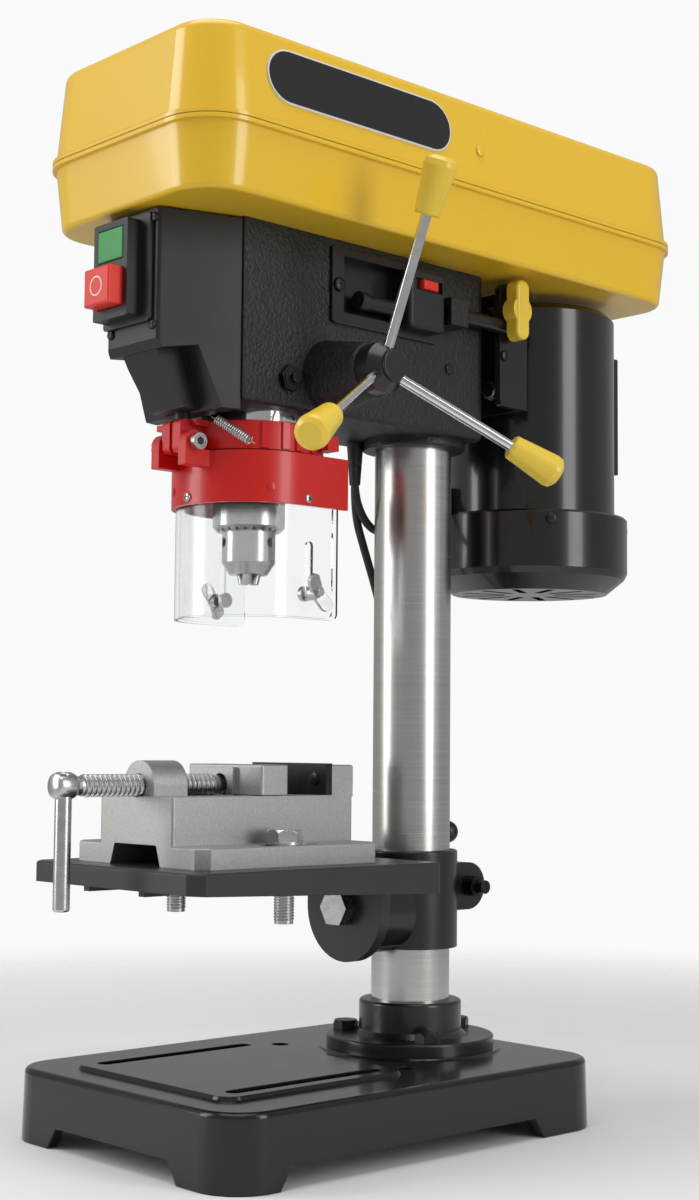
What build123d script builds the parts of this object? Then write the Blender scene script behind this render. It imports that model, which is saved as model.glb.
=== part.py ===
"""Bench drill press: one STEP file per piece, in millimetres, +Z up.

The model is drawn about the column: the column's axis is X = 0, Y = 0, the floor is Z = 0, +X is the
feed handle's side and -Y is the front, where the operator stands. `write` shifts every piece by the
same offset, so that the origin of the files is at the middle of the machine's footprint.
"""
from build123d import *
import math
import os

# ---------------------------------------------------------------- driving dimensions
# base
BASE_WIDTH = 197.0
BASE_FRONT = 215.0
BASE_REAR = 60.0
BASE_HEIGHT = 38.5
BASE_WALL = 6.0
FOOT_HEIGHT = 11.0
FOOT_LENGTH = 42.0
PLATFORM_RISE = 2.0
SLOT_OFFSET = 55.0
SLOT_WIDTH = 9.0
BOLT_DOWN_R = 5.0
BOLT_DOWN_X = 53.0
BOLT_DOWN_Y = -55.0

# column and its foot
COLUMN_R = 23.0
COLUMN_WALL = 3.0
COLUMN_TOP = 470.0
FLANGE_R = 49.0
FLANGE_THICK = 7.0
FLANGE_COLLAR_R = 30.0
FLANGE_COLLAR_TOP = 66.5
FLANGE_BOLT_CIRCLE = 39.5
FLANGE_BOLT_R = 4.0
FLANGE_BOLTS = 3

# table and its bracket
TABLE_WIDTH = 145.0
TABLE_FRONT = 219.0
TABLE_REAR = 48.0
TABLE_TOP = 151.0
TABLE_SKIN = 6.0
TABLE_APRON_FRONT = 11.0
TABLE_APRON_REAR = 17.0
TILT_AXIS_Z = 122.0
TILT_DISC_R = 31.0
TILT_DISC_THICK = 7.0
TILT_BOLT_R = 6.0
BRACKET_R = 27.5
BRACKET_BOTTOM = 97.0
BRACKET_TOP = 153.5
BRACKET_SPLIT = 3.0
CLAMP_SCREW_R = 4.0

# vise
VISE_PLATE_WIDTH = 112.0
VISE_PLATE_THICK = 11.0
VISE_FRONT = 202.0
VISE_REAR = 77.0
VISE_BODY_WIDTH = 63.0
VISE_RAIL_Z = 187.0
VISE_JAW_TOP = 203.5
VISE_SCREW_Z = 192.5
VISE_SCREW_R = 6.0
VISE_NUT_R = 13.0
VISE_NUT_LENGTH = 22.0
VISE_GAP = 27.0
VISE_JAW_FACE_Y = -97.0
VISE_JAW_PLATE = 4.5
VISE_JAW_DEPTH = 19.0
VISE_HEAD_Y = -247.0
VISE_BAR_R = 4.3
VISE_BAR_LENGTH = 70.0
VISE_BOLT_R = 5.0
VISE_BOLT_X = 46.0
VISE_BOLT_Y = -139.0

# head
SPINDLE_Y = -128.0
HEAD_HALF = 38.0
HEAD_BOTTOM = 391.0
HEAD_TOP = 495.0
HEAD_FRONT = 165.0
HEAD_REAR = 24.0
HEAD_WALL = 6.0
HEAD_NOSE_R = 30.0
HEAD_COLLAR_R = 31.0

# switch box on the nose of the head
SWITCH_FRONT = 210.0
SWITCH_HALF = 22.0
SWITCH_TOP = 494.0
SWITCH_WAIST = 426.0
BEZEL_DEPTH = 11.0
BEZEL_WIDTH = 38.0
BEZEL_TOP = 489.0
BEZEL_BOTTOM = 437.0
BUTTON_WIDTH = 22.0
BUTTON_TRAVEL = 3.0

# quill, spindle and chuck
QUILL_R = 18.0
QUILL_BOTTOM = 366.0
QUILL_TOP = 470.0
QUILL_TRAVEL = 50.0
SPINDLE_R = 6.0
CHUCK_SLEEVE_R = 20.0
CHUCK_BODY_R = 14.8
CHUCK_TOP = 359.0
CHUCK_SLEEVE_BOTTOM = 331.0
CHUCK_BODY_BOTTOM = 314.0
CHUCK_NOSE_R = 10.5
CHUCK_NOSE_BOTTOM = 307.5
JAW_TIP = 302.0
JAW_R = 2.6
JAW_TILT = 15.0

# feed
PINION_R = 10.0
RACK_DEPTH = 2.2
FEED_Z = 416.0
FEED_HUB_X = 89.5
FEED_SHAFT_R = 7.0
SPOKE_LENGTH = 108.0
SPOKE_LEAN = 23.0
SPOKE_R = 3.0
KNOB_LENGTH = 31.0
KNOB_R = 9.2

# guard
GUARD_R = 42.0
GUARD_WALL = 2.5
GUARD_BACK_Y = -93.0
GUARD_SKIRT_TOP = 371.0
GUARD_SKIRT_BOTTOM = 343.0
COLLAR_TOP = 387.5
SHIELD_WALL = 2.0
SHIELD_BOTTOM = 282.0
GUARD_HINGE_REACH = 50.0
GUARD_HINGE_Z = 374.5

# motor
MOTOR_Y = 105.0
MOTOR_R = 54.0
MOTOR_TOP = 489.0
FAN_COVER_R = 62.0
FAN_COVER_TOP = 359.0
FAN_COVER_BOTTOM = 311.0
MOTOR_SHAFT_R = 7.0

# belt cover and drive
COVER_HALF = 76.0
COVER_FRONT = 223.0
COVER_REAR = 168.0
COVER_CORNER = 30.0
RIM_Z = HEAD_TOP + 36.7
LID_TOP = HEAD_TOP + 89.0
COVER_WALL = 2.0
PULLEY_BOTTOM = HEAD_TOP + 8.0
PULLEY_STEPS = (19.0, 25.0, 31.0, 37.0, 43.0)
PULLEY_STEP_HEIGHT = 7.6
BELT_STEP = 2

# fits
SLIP = 0.05
RUN = 0.06
AIR = 0.4

# the height of a cut that goes right through
THROUGH = 1000.0

# ---------------------------------------------------------------- small shape helpers


def block(x0, x1, y0, y1, z0, z1):
    return Pos((x0 + x1) / 2, (y0 + y1) / 2, (z0 + z1) / 2) * Box(x1 - x0, y1 - y0, z1 - z0)


def post(r, z0, z1, x=0.0, y=0.0):
    return Pos(x, y, (z0 + z1) / 2) * Cylinder(r, z1 - z0)


def bar_x(r, x0, x1, y, z):
    return Pos((x0 + x1) / 2, y, z) * Rot(0, 90, 0) * Cylinder(r, abs(x1 - x0))


def bar_y(r, y0, y1, x, z):
    return Pos(x, (y0 + y1) / 2, z) * Rot(90, 0, 0) * Cylinder(r, abs(y1 - y0))


def cone(r0, r1, z0, z1, x=0.0, y=0.0):
    return Pos(x, y, (z0 + z1) / 2) * Cone(r0, r1, z1 - z0)


def hexagon(across, z0, z1, x=0.0, y=0.0):
    return extrude(Pos(x, y, z0) * RegularPolygon(across / math.sqrt(3), 6), z1 - z0)


def plan(width, y_front, y_rear, corner, z):
    """A rounded rectangle at height z, centred on X = 0."""
    return Pos(0, (y_front + y_rear) / 2, z) * RectangleRounded(width, y_rear - y_front, corner)


def prism_x(points, x0, x1):
    """A side profile of (y, z) points, pushed from x0 to x1."""
    face = Plane.YZ.offset(x0) * make_face(Polyline(*points, close=True))
    return extrude(face, x1 - x0)


def prism_y(points, y0, y1):
    """A front profile of (x, z) points, pushed from y0 to y1."""
    face = Plane.XZ.offset(-y1) * make_face(Polyline(*points, close=True))
    return extrude(face, y1 - y0)


def turned(points, x=0.0, y=0.0):
    """A closed profile of (radius, z) points, turned about a vertical axis."""
    face = Plane.XZ * make_face(Polyline(*points, close=True))
    return Pos(x, y, 0) * revolve(face, Axis.Z)


# ---------------------------------------------------------------- base and column

BASE_CORNER = 26.0
BASE_DRAFT = 1.5
BASE_EDGE = 3.0
FOOT_SLOPE = 8.0
FOOT_SIDE_FRONT = 30.0
FOOT_SIDE_REAR = 52.0
PLATFORM_HALF = 68.0
PLATFORM_FRONT = 194.0
PLATFORM_REAR = 66.0
BOSS_R = 53.0
BOSS_RISE = 1.0
FLANGE_BOTTOM = BASE_HEIGHT + BOSS_RISE
FLANGE_TOP = FLANGE_BOTTOM + FLANGE_THICK
BOLT_HEAD_ACROSS = 13.0
BOLT_HEAD = 5.5


def base_plate():
    outer = extrude(plan(BASE_WIDTH, -BASE_FRONT, BASE_REAR, BASE_CORNER, 0), BASE_HEIGHT, taper=BASE_DRAFT)
    outer = fillet(outer.edges().group_by(Axis.Z)[-1], BASE_EDGE)
    inside = plan(BASE_WIDTH - 2 * BASE_WALL, -BASE_FRONT + BASE_WALL, BASE_REAR - BASE_WALL,
                  BASE_CORNER - BASE_WALL, 0)
    inner = extrude(inside, BASE_HEIGHT - BASE_WALL, taper=BASE_DRAFT)
    platform = extrude(plan(2 * PLATFORM_HALF, -PLATFORM_FRONT, -PLATFORM_REAR, 12, BASE_HEIGHT - 1),
                       PLATFORM_RISE + 1, taper=30)
    ribs = block(-BASE_WIDTH / 2 + 3, BASE_WIDTH / 2 - 3, -67, -62, BASE_HEIGHT - 22, BASE_HEIGHT - 3)
    pad = post(BOSS_R - 8, BASE_HEIGHT - 14, BASE_HEIGHT - 3)
    body = outer - inner + platform + ribs + pad
    body += cone(BOSS_R + BOSS_RISE, BOSS_R, BASE_HEIGHT - 0.01, FLANGE_BOTTOM)
    foot_x = BASE_WIDTH / 2 - FOOT_LENGTH
    far = 400.0
    across = [(-foot_x, -1), (-foot_x + FOOT_SLOPE, FOOT_HEIGHT), (foot_x - FOOT_SLOPE, FOOT_HEIGHT), (foot_x, -1)]
    body -= prism_y(across, -far, far)
    y0 = -BASE_FRONT + FOOT_SIDE_FRONT
    y1 = BASE_REAR - FOOT_SIDE_REAR
    along = [(y0, -1), (y0 + FOOT_SLOPE, FOOT_HEIGHT), (y1 - FOOT_SLOPE, FOOT_HEIGHT), (y1, -1)]
    body -= prism_x(along, -far, far)
    slot_length = PLATFORM_FRONT - PLATFORM_REAR - 22
    slot_y = -(PLATFORM_FRONT + PLATFORM_REAR) / 2
    for side in (-1, 1):
        slot = Pos(side * SLOT_OFFSET, slot_y, 0) * Rot(0, 0, 90) * SlotOverall(slot_length, SLOT_WIDTH)
        body -= extrude(slot, BASE_HEIGHT + 10)
        body -= post(BOLT_DOWN_R, 0, BASE_HEIGHT + 10, side * BOLT_DOWN_X, BOLT_DOWN_Y)
    for x, y in flange_bolt_places():
        body -= post(FLANGE_BOLT_R + SLIP, BASE_HEIGHT - 16, FLANGE_BOTTOM + 1, x, y)
    return body


def flange_bolt_places():
    turn = 2 * math.pi / FLANGE_BOLTS
    angles = [math.radians(210) + turn * i for i in range(FLANGE_BOLTS)]
    return [(FLANGE_BOLT_CIRCLE * math.cos(a), FLANGE_BOLT_CIRCLE * math.sin(a)) for a in angles]


def column_flange():
    disc = fillet(post(FLANGE_R, FLANGE_BOTTOM, FLANGE_TOP).edges().group_by(Axis.Z)[-1], 1.2)
    collar = post(FLANGE_COLLAR_R, FLANGE_TOP - 2, FLANGE_COLLAR_TOP)
    collar = fillet(collar.edges().group_by(Axis.Z)[-1], 2.0)
    body = disc + collar + cone(FLANGE_COLLAR_R + 3, FLANGE_COLLAR_R, FLANGE_TOP - 0.01, FLANGE_TOP + 3)
    body -= post(COLUMN_R + SLIP, 0, 200)
    for x, y in flange_bolt_places():
        body -= post(FLANGE_BOLT_R + SLIP, 0, FLANGE_TOP + 1, x, y)
        body -= post(BOLT_HEAD_ACROSS / 2 + 2.2, FLANGE_TOP, FLANGE_TOP + BOLT_HEAD + 2, x, y)
    return body


def flange_bolts():
    bolts = []
    for x, y in flange_bolt_places():
        head = hexagon(BOLT_HEAD_ACROSS, FLANGE_TOP, FLANGE_TOP + BOLT_HEAD, x, y)
        head &= cone(BOLT_HEAD_ACROSS / 2 + 4, BOLT_HEAD_ACROSS / 2, FLANGE_TOP - 2, FLANGE_TOP + BOLT_HEAD, x, y)
        bolts.append(head + post(FLANGE_BOLT_R, BASE_HEIGHT - 12, FLANGE_TOP, x, y))
    return Compound(children=bolts)


def column_tube():
    tube = post(COLUMN_R, FLANGE_BOTTOM, COLUMN_TOP) - post(COLUMN_R - COLUMN_WALL, 0, COLUMN_TOP + 1)
    return tube


# ---------------------------------------------------------------- table

TABLE_HALF = TABLE_WIDTH / 2
LUG_FRONT = -TABLE_REAR - TILT_DISC_THICK + 1.0
LUG_BACK = -TABLE_REAR + 1.0
ARM_FRONT = LUG_BACK + AIR
ARM_HALF = 15.0
CLAMP_Y = 36.0
CLAMP_Z = 131.0
EAR_HALF = 13.0
LEVER_X = -34.0


def vise_bolt_places():
    return [(-VISE_BOLT_X, VISE_BOLT_Y), (VISE_BOLT_X, VISE_BOLT_Y)]


def table_plate():
    bottom_front = TABLE_TOP - TABLE_APRON_FRONT
    bottom_rear = TABLE_TOP - TABLE_APRON_REAR
    side = [(-TABLE_FRONT, TABLE_TOP), (-TABLE_FRONT, bottom_front), (-TABLE_REAR, bottom_rear),
            (-TABLE_REAR, TABLE_TOP)]
    body = prism_x(side, -TABLE_HALF, TABLE_HALF)
    body = chamfer(body.edges().filter_by(Axis.Z).group_by(Axis.Y)[0], 7)
    body = fillet(body.edges().filter_by(Axis.Z).group_by(Axis.Y)[-1], 3)
    body = fillet(body.edges().group_by(Axis.Z)[-1], 1.5)
    wall = 6.0
    under = [(-TABLE_FRONT + wall + 3, bottom_front - 20), (-TABLE_FRONT + wall + 3, TABLE_TOP - TABLE_SKIN),
             (-TABLE_REAR - wall, TABLE_TOP - TABLE_SKIN), (-TABLE_REAR - wall, bottom_front - 20)]
    body -= prism_x(under, -TABLE_HALF + wall, TABLE_HALF - wall)
    lug = bar_y(TILT_DISC_R, LUG_FRONT, LUG_BACK, 0, TILT_AXIS_Z)
    lug -= block(-99, 99, -99, 0, TABLE_TOP - TABLE_SKIN + 1, 300)
    lug += block(-TILT_DISC_R, TILT_DISC_R, LUG_FRONT, LUG_BACK, TILT_AXIS_Z, TABLE_TOP - TABLE_SKIN + 1)
    body += lug
    for x in (-24, 24):
        body += block(x - 2.5, x + 2.5, -TABLE_FRONT + 4, LUG_FRONT + 1, TABLE_TOP - 14, TABLE_TOP - 2)
    body -= post(7.5, 0, 200, 0, SPINDLE_Y)
    for x, y in vise_bolt_places():
        slot = Pos(x, y, 0) * Rot(0, 0, 90) * SlotOverall(80, 2 * VISE_BOLT_R + 1.5)
        body -= extrude(slot, 200)
    body -= bar_y(TILT_BOLT_R + RUN, LUG_FRONT - 1, LUG_BACK + 1, 0, TILT_AXIS_Z)
    return body


def table_bracket():
    collar = post(BRACKET_R, BRACKET_BOTTOM, BRACKET_TOP)
    collar = fillet(collar.edges().group_by(Axis.Z)[-1], 1.5)
    reach = TILT_AXIS_Z + 15.0
    arm = block(-ARM_HALF, ARM_HALF, ARM_FRONT, 0, BRACKET_BOTTOM + 2, reach)
    arm += bar_y(TILT_DISC_R - 6, ARM_FRONT, -20, 0, TILT_AXIS_Z - 2)
    ears = block(-EAR_HALF, EAR_HALF, 15, CLAMP_Y, CLAMP_Z - 14, CLAMP_Z + 14)
    ears += bar_x(14.0, -EAR_HALF, EAR_HALF, CLAMP_Y, CLAMP_Z)
    body = collar + arm + ears
    body -= post(COLUMN_R + RUN, 0, 300)
    body -= block(-BRACKET_SPLIT / 2, BRACKET_SPLIT / 2, 5, 90, 0, 300)
    body -= bar_x(CLAMP_SCREW_R + RUN, -60, 60, CLAMP_Y, CLAMP_Z)
    body -= bar_y(TILT_BOLT_R + SLIP, ARM_FRONT - 1, -27, 0, TILT_AXIS_Z)
    return body


def tilt_bolt():
    across = 19.0
    face = LUG_FRONT - AIR
    head = Rot(90, 0, 0) * hexagon(across, 0, 8.0)
    head = Pos(0, face, TILT_AXIS_Z) * head
    return head + bar_y(TILT_BOLT_R, face, -28, 0, TILT_AXIS_Z)


def table_clamp_lever():
    screw = bar_x(CLAMP_SCREW_R, LEVER_X, EAR_HALF + 14, CLAMP_Y, CLAMP_Z)
    stub = bar_x(6.0, EAR_HALF + AIR, EAR_HALF + 8, CLAMP_Y, CLAMP_Z)
    hub = bar_x(7.5, LEVER_X - 5, -EAR_HALF - AIR, CLAMP_Y, CLAMP_Z)
    arm = Pos(LEVER_X, CLAMP_Y, CLAMP_Z) * Rot(-45, 0, 0) * post(3.2, 0, 38)
    ball = Pos(LEVER_X, CLAMP_Y, CLAMP_Z) * Rot(-45, 0, 0) * Pos(0, 0, 42) * Sphere(7.0)
    return screw + stub + hub + arm + ball


# ---------------------------------------------------------------- vise

VISE_PLATE_TOP = TABLE_TOP + VISE_PLATE_THICK
VISE_HALF = VISE_BODY_WIDTH / 2
GUIDE_HALF = 9.5
GUIDE_BOTTOM = TABLE_TOP + 19.0
JAW_BACK_Y = VISE_JAW_FACE_Y - VISE_GAP
NUT_FRONT = -VISE_FRONT + 2.0
JAW_SOCKET = 6.0
VISE_HEAD_R = 7.0
VISE_HEAD_LENGTH = 13.0


def vise_body():
    plate = block(-VISE_PLATE_WIDTH / 2, VISE_PLATE_WIDTH / 2, -VISE_FRONT, -VISE_REAR, TABLE_TOP, VISE_PLATE_TOP)
    plate = chamfer(plate.edges().filter_by(Axis.Z), 6)
    plate = fillet(plate.edges().group_by(Axis.Z)[-1], 1.0)
    rails = block(-VISE_HALF, VISE_HALF, -VISE_FRONT, -VISE_REAR, TABLE_TOP, VISE_RAIL_Z)
    rails = fillet(rails.edges().filter_by(Axis.Z), 1.5)
    jaw_front = VISE_JAW_FACE_Y + VISE_JAW_PLATE
    jaw = block(-VISE_HALF, VISE_HALF, jaw_front, -VISE_REAR, VISE_RAIL_Z - 1, VISE_JAW_TOP)
    jaw = fillet(jaw.edges().group_by(Axis.Z)[-1], 1.2)
    nut = bar_y(VISE_NUT_R, NUT_FRONT, NUT_FRONT + VISE_NUT_LENGTH, 0, VISE_SCREW_Z)
    nut += block(-VISE_NUT_R, VISE_NUT_R, NUT_FRONT, NUT_FRONT + VISE_NUT_LENGTH, VISE_RAIL_Z - 2, VISE_SCREW_Z)
    body = plate + rails + jaw + nut
    tunnel = [(-22, TABLE_TOP - 1), (-18, TABLE_TOP + 11), (18, TABLE_TOP + 11), (22, TABLE_TOP - 1)]
    body -= prism_y(tunnel, -VISE_FRONT - 5, -VISE_REAR - 8)
    body -= block(-GUIDE_HALF - AIR, GUIDE_HALF + AIR, NUT_FRONT + VISE_NUT_LENGTH, jaw_front,
                  GUIDE_BOTTOM, VISE_RAIL_Z + 0.01)
    body -= bar_y(VISE_SCREW_R + RUN, -VISE_FRONT - 5, NUT_FRONT + VISE_NUT_LENGTH + 1, 0, VISE_SCREW_Z)
    for x, y in vise_bolt_places():
        slot = Pos(x, y, 0) * Rot(0, 0, 90) * SlotOverall(44, 2 * VISE_BOLT_R + 1)
        body -= extrude(slot, VISE_PLATE_TOP + 1)
        body -= post(10.5, VISE_PLATE_TOP - 0.01, VISE_PLATE_TOP + 12, x, y)
    return body


def vise_jaw_plate():
    return block(-VISE_HALF, VISE_HALF, VISE_JAW_FACE_Y, VISE_JAW_FACE_Y + VISE_JAW_PLATE, VISE_RAIL_Z,
                 VISE_JAW_TOP + 0.8)


def vise_moving_jaw():
    front = JAW_BACK_Y - VISE_JAW_DEPTH
    jaw = block(-VISE_HALF, VISE_HALF, front, JAW_BACK_Y, VISE_RAIL_Z + AIR, VISE_JAW_TOP)
    jaw = fillet(jaw.edges().filter_by(Axis.Z), 1.5)
    jaw = fillet(jaw.edges().group_by(Axis.Z)[-1], 1.0)
    tongue = block(-GUIDE_HALF, GUIDE_HALF, front + 1, JAW_BACK_Y - 1, GUIDE_BOTTOM + AIR, VISE_RAIL_Z + 2)
    pad = block(-11, 11, front - 3, front + 1, VISE_RAIL_Z + AIR, VISE_JAW_TOP - 1.5)
    jaw = jaw + tongue + pad
    return jaw - bar_y(VISE_SCREW_R + RUN, front - 4, front - 3 + JAW_SOCKET, 0, VISE_SCREW_Z)


def vise_screw():
    jaw_face = JAW_BACK_Y - VISE_JAW_DEPTH - 3
    shaft = bar_y(VISE_SCREW_R, VISE_HEAD_Y, jaw_face + JAW_SOCKET - 1, 0, VISE_SCREW_Z)
    head_front = VISE_HEAD_Y - VISE_HEAD_LENGTH / 2
    head = bar_y(VISE_HEAD_R, head_front, head_front + VISE_HEAD_LENGTH, 0, VISE_SCREW_Z)
    head = fillet(head.edges().group_by(Axis.Y)[0], 1.5)
    return shaft + head - post(VISE_BAR_R + RUN, VISE_SCREW_Z - 20, VISE_SCREW_Z + 20, 0, VISE_HEAD_Y)


def vise_handle_bar():
    top = VISE_SCREW_Z + VISE_HEAD_R
    bar = post(VISE_BAR_R, top - VISE_BAR_LENGTH, top, 0, VISE_HEAD_Y)
    return fillet(bar.edges(), 1.4)


def vise_bolts():
    bolts = []
    for x, y in vise_bolt_places():
        washer = post(9.5, VISE_PLATE_TOP, VISE_PLATE_TOP + 1.6, x, y)
        head = hexagon(17.0, VISE_PLATE_TOP + 1.6, VISE_PLATE_TOP + 8.0, x, y)
        head &= cone(14, 8.6, VISE_PLATE_TOP, VISE_PLATE_TOP + 8.0, x, y)
        shank = post(VISE_BOLT_R, TABLE_TOP - 30, VISE_PLATE_TOP + 2, x, y)
        nut = hexagon(17.0, TABLE_TOP - TABLE_SKIN - 8, TABLE_TOP - TABLE_SKIN, x, y)
        bolts.append(washer + head + shank + nut)
    return Compound(children=bolts)


# ---------------------------------------------------------------- head

HEAD_LOW = HEAD_BOTTOM + 5.0
FEED_Y = SPINDLE_Y + QUILL_R - RACK_DEPTH + PINION_R
FEED_BOSS_X = 72.0
CAP_X = -50.0
GUIDE_R = QUILL_R + 7.0
TOP_BUSH = 13.0
PULLEY_HUB_R = 10.0
NOSE_NECK_R = 27.0
NOSE_BOTTOM = 371.5
ROD_X = 44.0
ROD_Z = 466.0
ROD_R = 4.5
HOOD_Y0 = -51.0
HOOD_Y1 = -22.0
WINDOW = (-95.0, -50.0, 454.0, 486.0)
BOSS_Y = (-20.0, -6.0)
POINTER_Z = 478.0
PLATE_THICK = 2.5


def head_casting():
    body = block(-HEAD_HALF, HEAD_HALF, -HEAD_FRONT, HEAD_REAR, HEAD_LOW, HEAD_TOP)
    body = fillet(body.edges().filter_by(Axis.Z).group_by(Axis.Y)[-1], 8)
    body = fillet(body.edges().group_by(Axis.Z)[0], 2.5)
    inner = HEAD_HALF - HEAD_WALL
    body -= block(-inner, inner, -HEAD_FRONT + HEAD_WALL, -30, HEAD_LOW + HEAD_WALL, HEAD_TOP - 7)
    body += post(GUIDE_R, HEAD_LOW, HEAD_TOP, 0, SPINDLE_Y)
    collar = post(HEAD_COLLAR_R, HEAD_BOTTOM, HEAD_TOP - 1)
    body += fillet(collar.edges().group_by(Axis.Z)[0], 1.5)
    boss = Pos((HEAD_HALF + FEED_BOSS_X) / 2, FEED_Y, FEED_Z) * Rot(0, 90, 0) \
        * Cone(21.0, 15.0, FEED_BOSS_X - HEAD_HALF)
    body += fillet(boss.edges().group_by(Axis.X)[-1], 2.0)
    body += bar_x(22.0, CAP_X, -HEAD_HALF + 1, FEED_Y, FEED_Z)
    for side in (-1, 1):
        x0, x1 = sorted((side * (HEAD_HALF - 1), side * (ROD_X + 7)))
        body += block(x0, x1, *BOSS_Y, ROD_Z - 8, ROD_Z + 8)
    body -= post(COLUMN_R + SLIP, 0, COLUMN_TOP + 1)
    body -= post(QUILL_R + RUN, 0, HEAD_TOP - TOP_BUSH, 0, SPINDLE_Y)
    body -= post(PULLEY_HUB_R + RUN, 0, HEAD_TOP + 1, 0, SPINDLE_Y)
    body -= post(NOSE_NECK_R - 3 + SLIP, 0, HEAD_LOW + 8, 0, SPINDLE_Y)
    body -= bar_x(FEED_SHAFT_R + RUN, CAP_X - 1, FEED_BOSS_X + 1, FEED_Y, FEED_Z)
    body -= bar_x(PINION_R + 1, -12.5, 12.5, FEED_Y, FEED_Z)
    for side in (-1, 1):
        body -= bar_y(ROD_R + RUN, BOSS_Y[0] - 1, 40, side * ROD_X, ROD_Z)
    y0, y1, z0, z1 = WINDOW
    body -= block(HEAD_HALF - 9, HEAD_HALF + 1, y0 - 1, y1 + 1, z0 - 1, z1 + 1)
    return body


def nose_bush():
    """The machined nose of the head: the quill runs in it and the guard's collar clamps round it."""
    profile = [(QUILL_R + RUN, NOSE_BOTTOM), (NOSE_NECK_R, NOSE_BOTTOM), (NOSE_NECK_R, COLLAR_TOP + 0.6),
               (HEAD_NOSE_R, COLLAR_TOP + 0.6), (HEAD_NOSE_R, HEAD_LOW), (NOSE_NECK_R - 3, HEAD_LOW),
               (NOSE_NECK_R - 3, HEAD_LOW + 7), (QUILL_R + RUN, HEAD_LOW + 7)]
    return turned(profile, 0, SPINDLE_Y)


def return_spring_cap():
    cap = bar_x(25.0, CAP_X - 13, CAP_X, FEED_Y, FEED_Z)
    cap = fillet(cap.edges().group_by(Axis.X)[0], 2.5)
    cap -= bar_x(22.5, CAP_X - 10.5, CAP_X + 1, FEED_Y, FEED_Z)
    return cap - bar_x(FEED_SHAFT_R + RUN, CAP_X - 20, CAP_X, FEED_Y, FEED_Z)


def side_plate():
    y0, y1, z0, z1 = WINDOW
    plate = block(HEAD_HALF, HEAD_HALF + PLATE_THICK, -103.5, BOSS_Y[0] - 0.5, 447.5, 491.0)
    plate = fillet(plate.edges().filter_by(Axis.X), 2.0)
    plate = chamfer(plate.edges().group_by(Axis.X)[-1], 0.6)
    plate -= block(HEAD_HALF - 1, HEAD_HALF + 9, y0, y1, z0, z1)
    tray = block(HEAD_HALF - 8, HEAD_HALF + 0.01, y0 - 0.8, y1 + 0.8, z0 - 0.8, z1 + 0.8)
    return plate + tray - block(HEAD_HALF - 6.5, HEAD_HALF + 9, y0, y1, z0, z1)


def depth_gauge():
    """The hooded scale module on the side plate, with its dark drum behind the window."""
    x0 = HEAD_HALF + PLATE_THICK
    hood = block(x0, x0 + 8, HOOD_Y0, HOOD_Y1, 452.0, 487.0)
    hood = fillet(hood.edges().filter_by(Axis.X), 4.0)
    hood = fillet(hood.edges().group_by(Axis.X)[-1], 2.5)
    hood -= block(x0 + 5.5, x0 + 20, HOOD_Y0 + 4.5, HOOD_Y1 - 3, POINTER_Z - 3.4, POINTER_Z + 3.4)
    drum = bar_y(4.6, WINDOW[0] + 12, HOOD_Y0 + 0.6, HEAD_HALF + 0.5, 463.0)
    drum += bar_y(5.4, WINDOW[0] + 12, WINDOW[0] + 18, HEAD_HALF + 0.5, 463.0)
    return hood + drum


def depth_pointer():
    x0 = HEAD_HALF + PLATE_THICK + 5.5 + 0.3
    pointer = block(x0, x0 + 4.5, -42.0, -30.0, POINTER_Z - 2.8, POINTER_Z + 2.8)
    pointer = fillet(pointer.edges().group_by(Axis.X)[-1], 1.4)
    return pointer


# ---------------------------------------------------------------- switch box

SPINE_BOTTOM = HEAD_BOTTOM + 1.0
SWITCH_OPENING = 30.0


def switch_housing():
    top = [(-HEAD_HALF + 1.5, -HEAD_FRONT), (HEAD_HALF - 1.5, -HEAD_FRONT), (SWITCH_HALF, -SWITCH_FRONT),
           (-SWITCH_HALF, -SWITCH_FRONT)]
    body = extrude(Pos(0, 0, HEAD_BOTTOM) * make_face(Polyline(*top, close=True)), SWITCH_TOP - HEAD_BOTTOM)
    keep = prism_x([(-SWITCH_FRONT - 1, SWITCH_TOP + 1), (-SWITCH_FRONT - 1, SWITCH_WAIST),
                    (-SWITCH_FRONT + 3, SWITCH_WAIST - 6), (-188, SWITCH_WAIST - 3), (-175, HEAD_BOTTOM),
                    (-160, HEAD_BOTTOM), (-160, SWITCH_TOP + 1)], -60, 60)
    body &= keep
    body = fillet(body.edges().filter_by(Axis.Z).group_by(Axis.Y)[0], 2.5)
    inner = [(-HEAD_HALF + 4.5, -HEAD_FRONT + 1), (HEAD_HALF - 4.5, -HEAD_FRONT + 1),
             (SWITCH_HALF - 3, -SWITCH_FRONT + 3.5), (-SWITCH_HALF + 3, -SWITCH_FRONT + 3.5)]
    hollow = extrude(Pos(0, 0, SWITCH_WAIST + 3) * make_face(Polyline(*inner, close=True)),
                     SWITCH_TOP - SWITCH_WAIST - 6)
    spine = prism_x([(-SWITCH_FRONT + 2, SWITCH_WAIST + 1), (-SWITCH_FRONT + 9, SWITCH_WAIST - 12),
                     (-186, SPINE_BOTTOM), (-HEAD_FRONT - 4, SPINE_BOTTOM), (-HEAD_FRONT - 4, SWITCH_WAIST + 1)],
                    -15, 15)
    spine = fillet(spine.edges().filter_by(Axis.X).group_by(Axis.Z)[0], 2.0)
    body = body + spine - hollow
    body += post(4.5, COLLAR_TOP + AIR, SPINE_BOTTOM + 4, 0, -175.5)
    half = SWITCH_OPENING / 2
    return body - block(-half, half, -SWITCH_FRONT - 1, -SWITCH_FRONT + 8, BEZEL_BOTTOM + 4, BEZEL_TOP - 4)


BEZEL_FRONT = -SWITCH_FRONT - BEZEL_DEPTH
BUTTON_GAP = 0.4
START_Z = (468.0, 485.0)
STOP_Z = (443.0, 463.0)
BUTTON_X = -5.0


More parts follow.
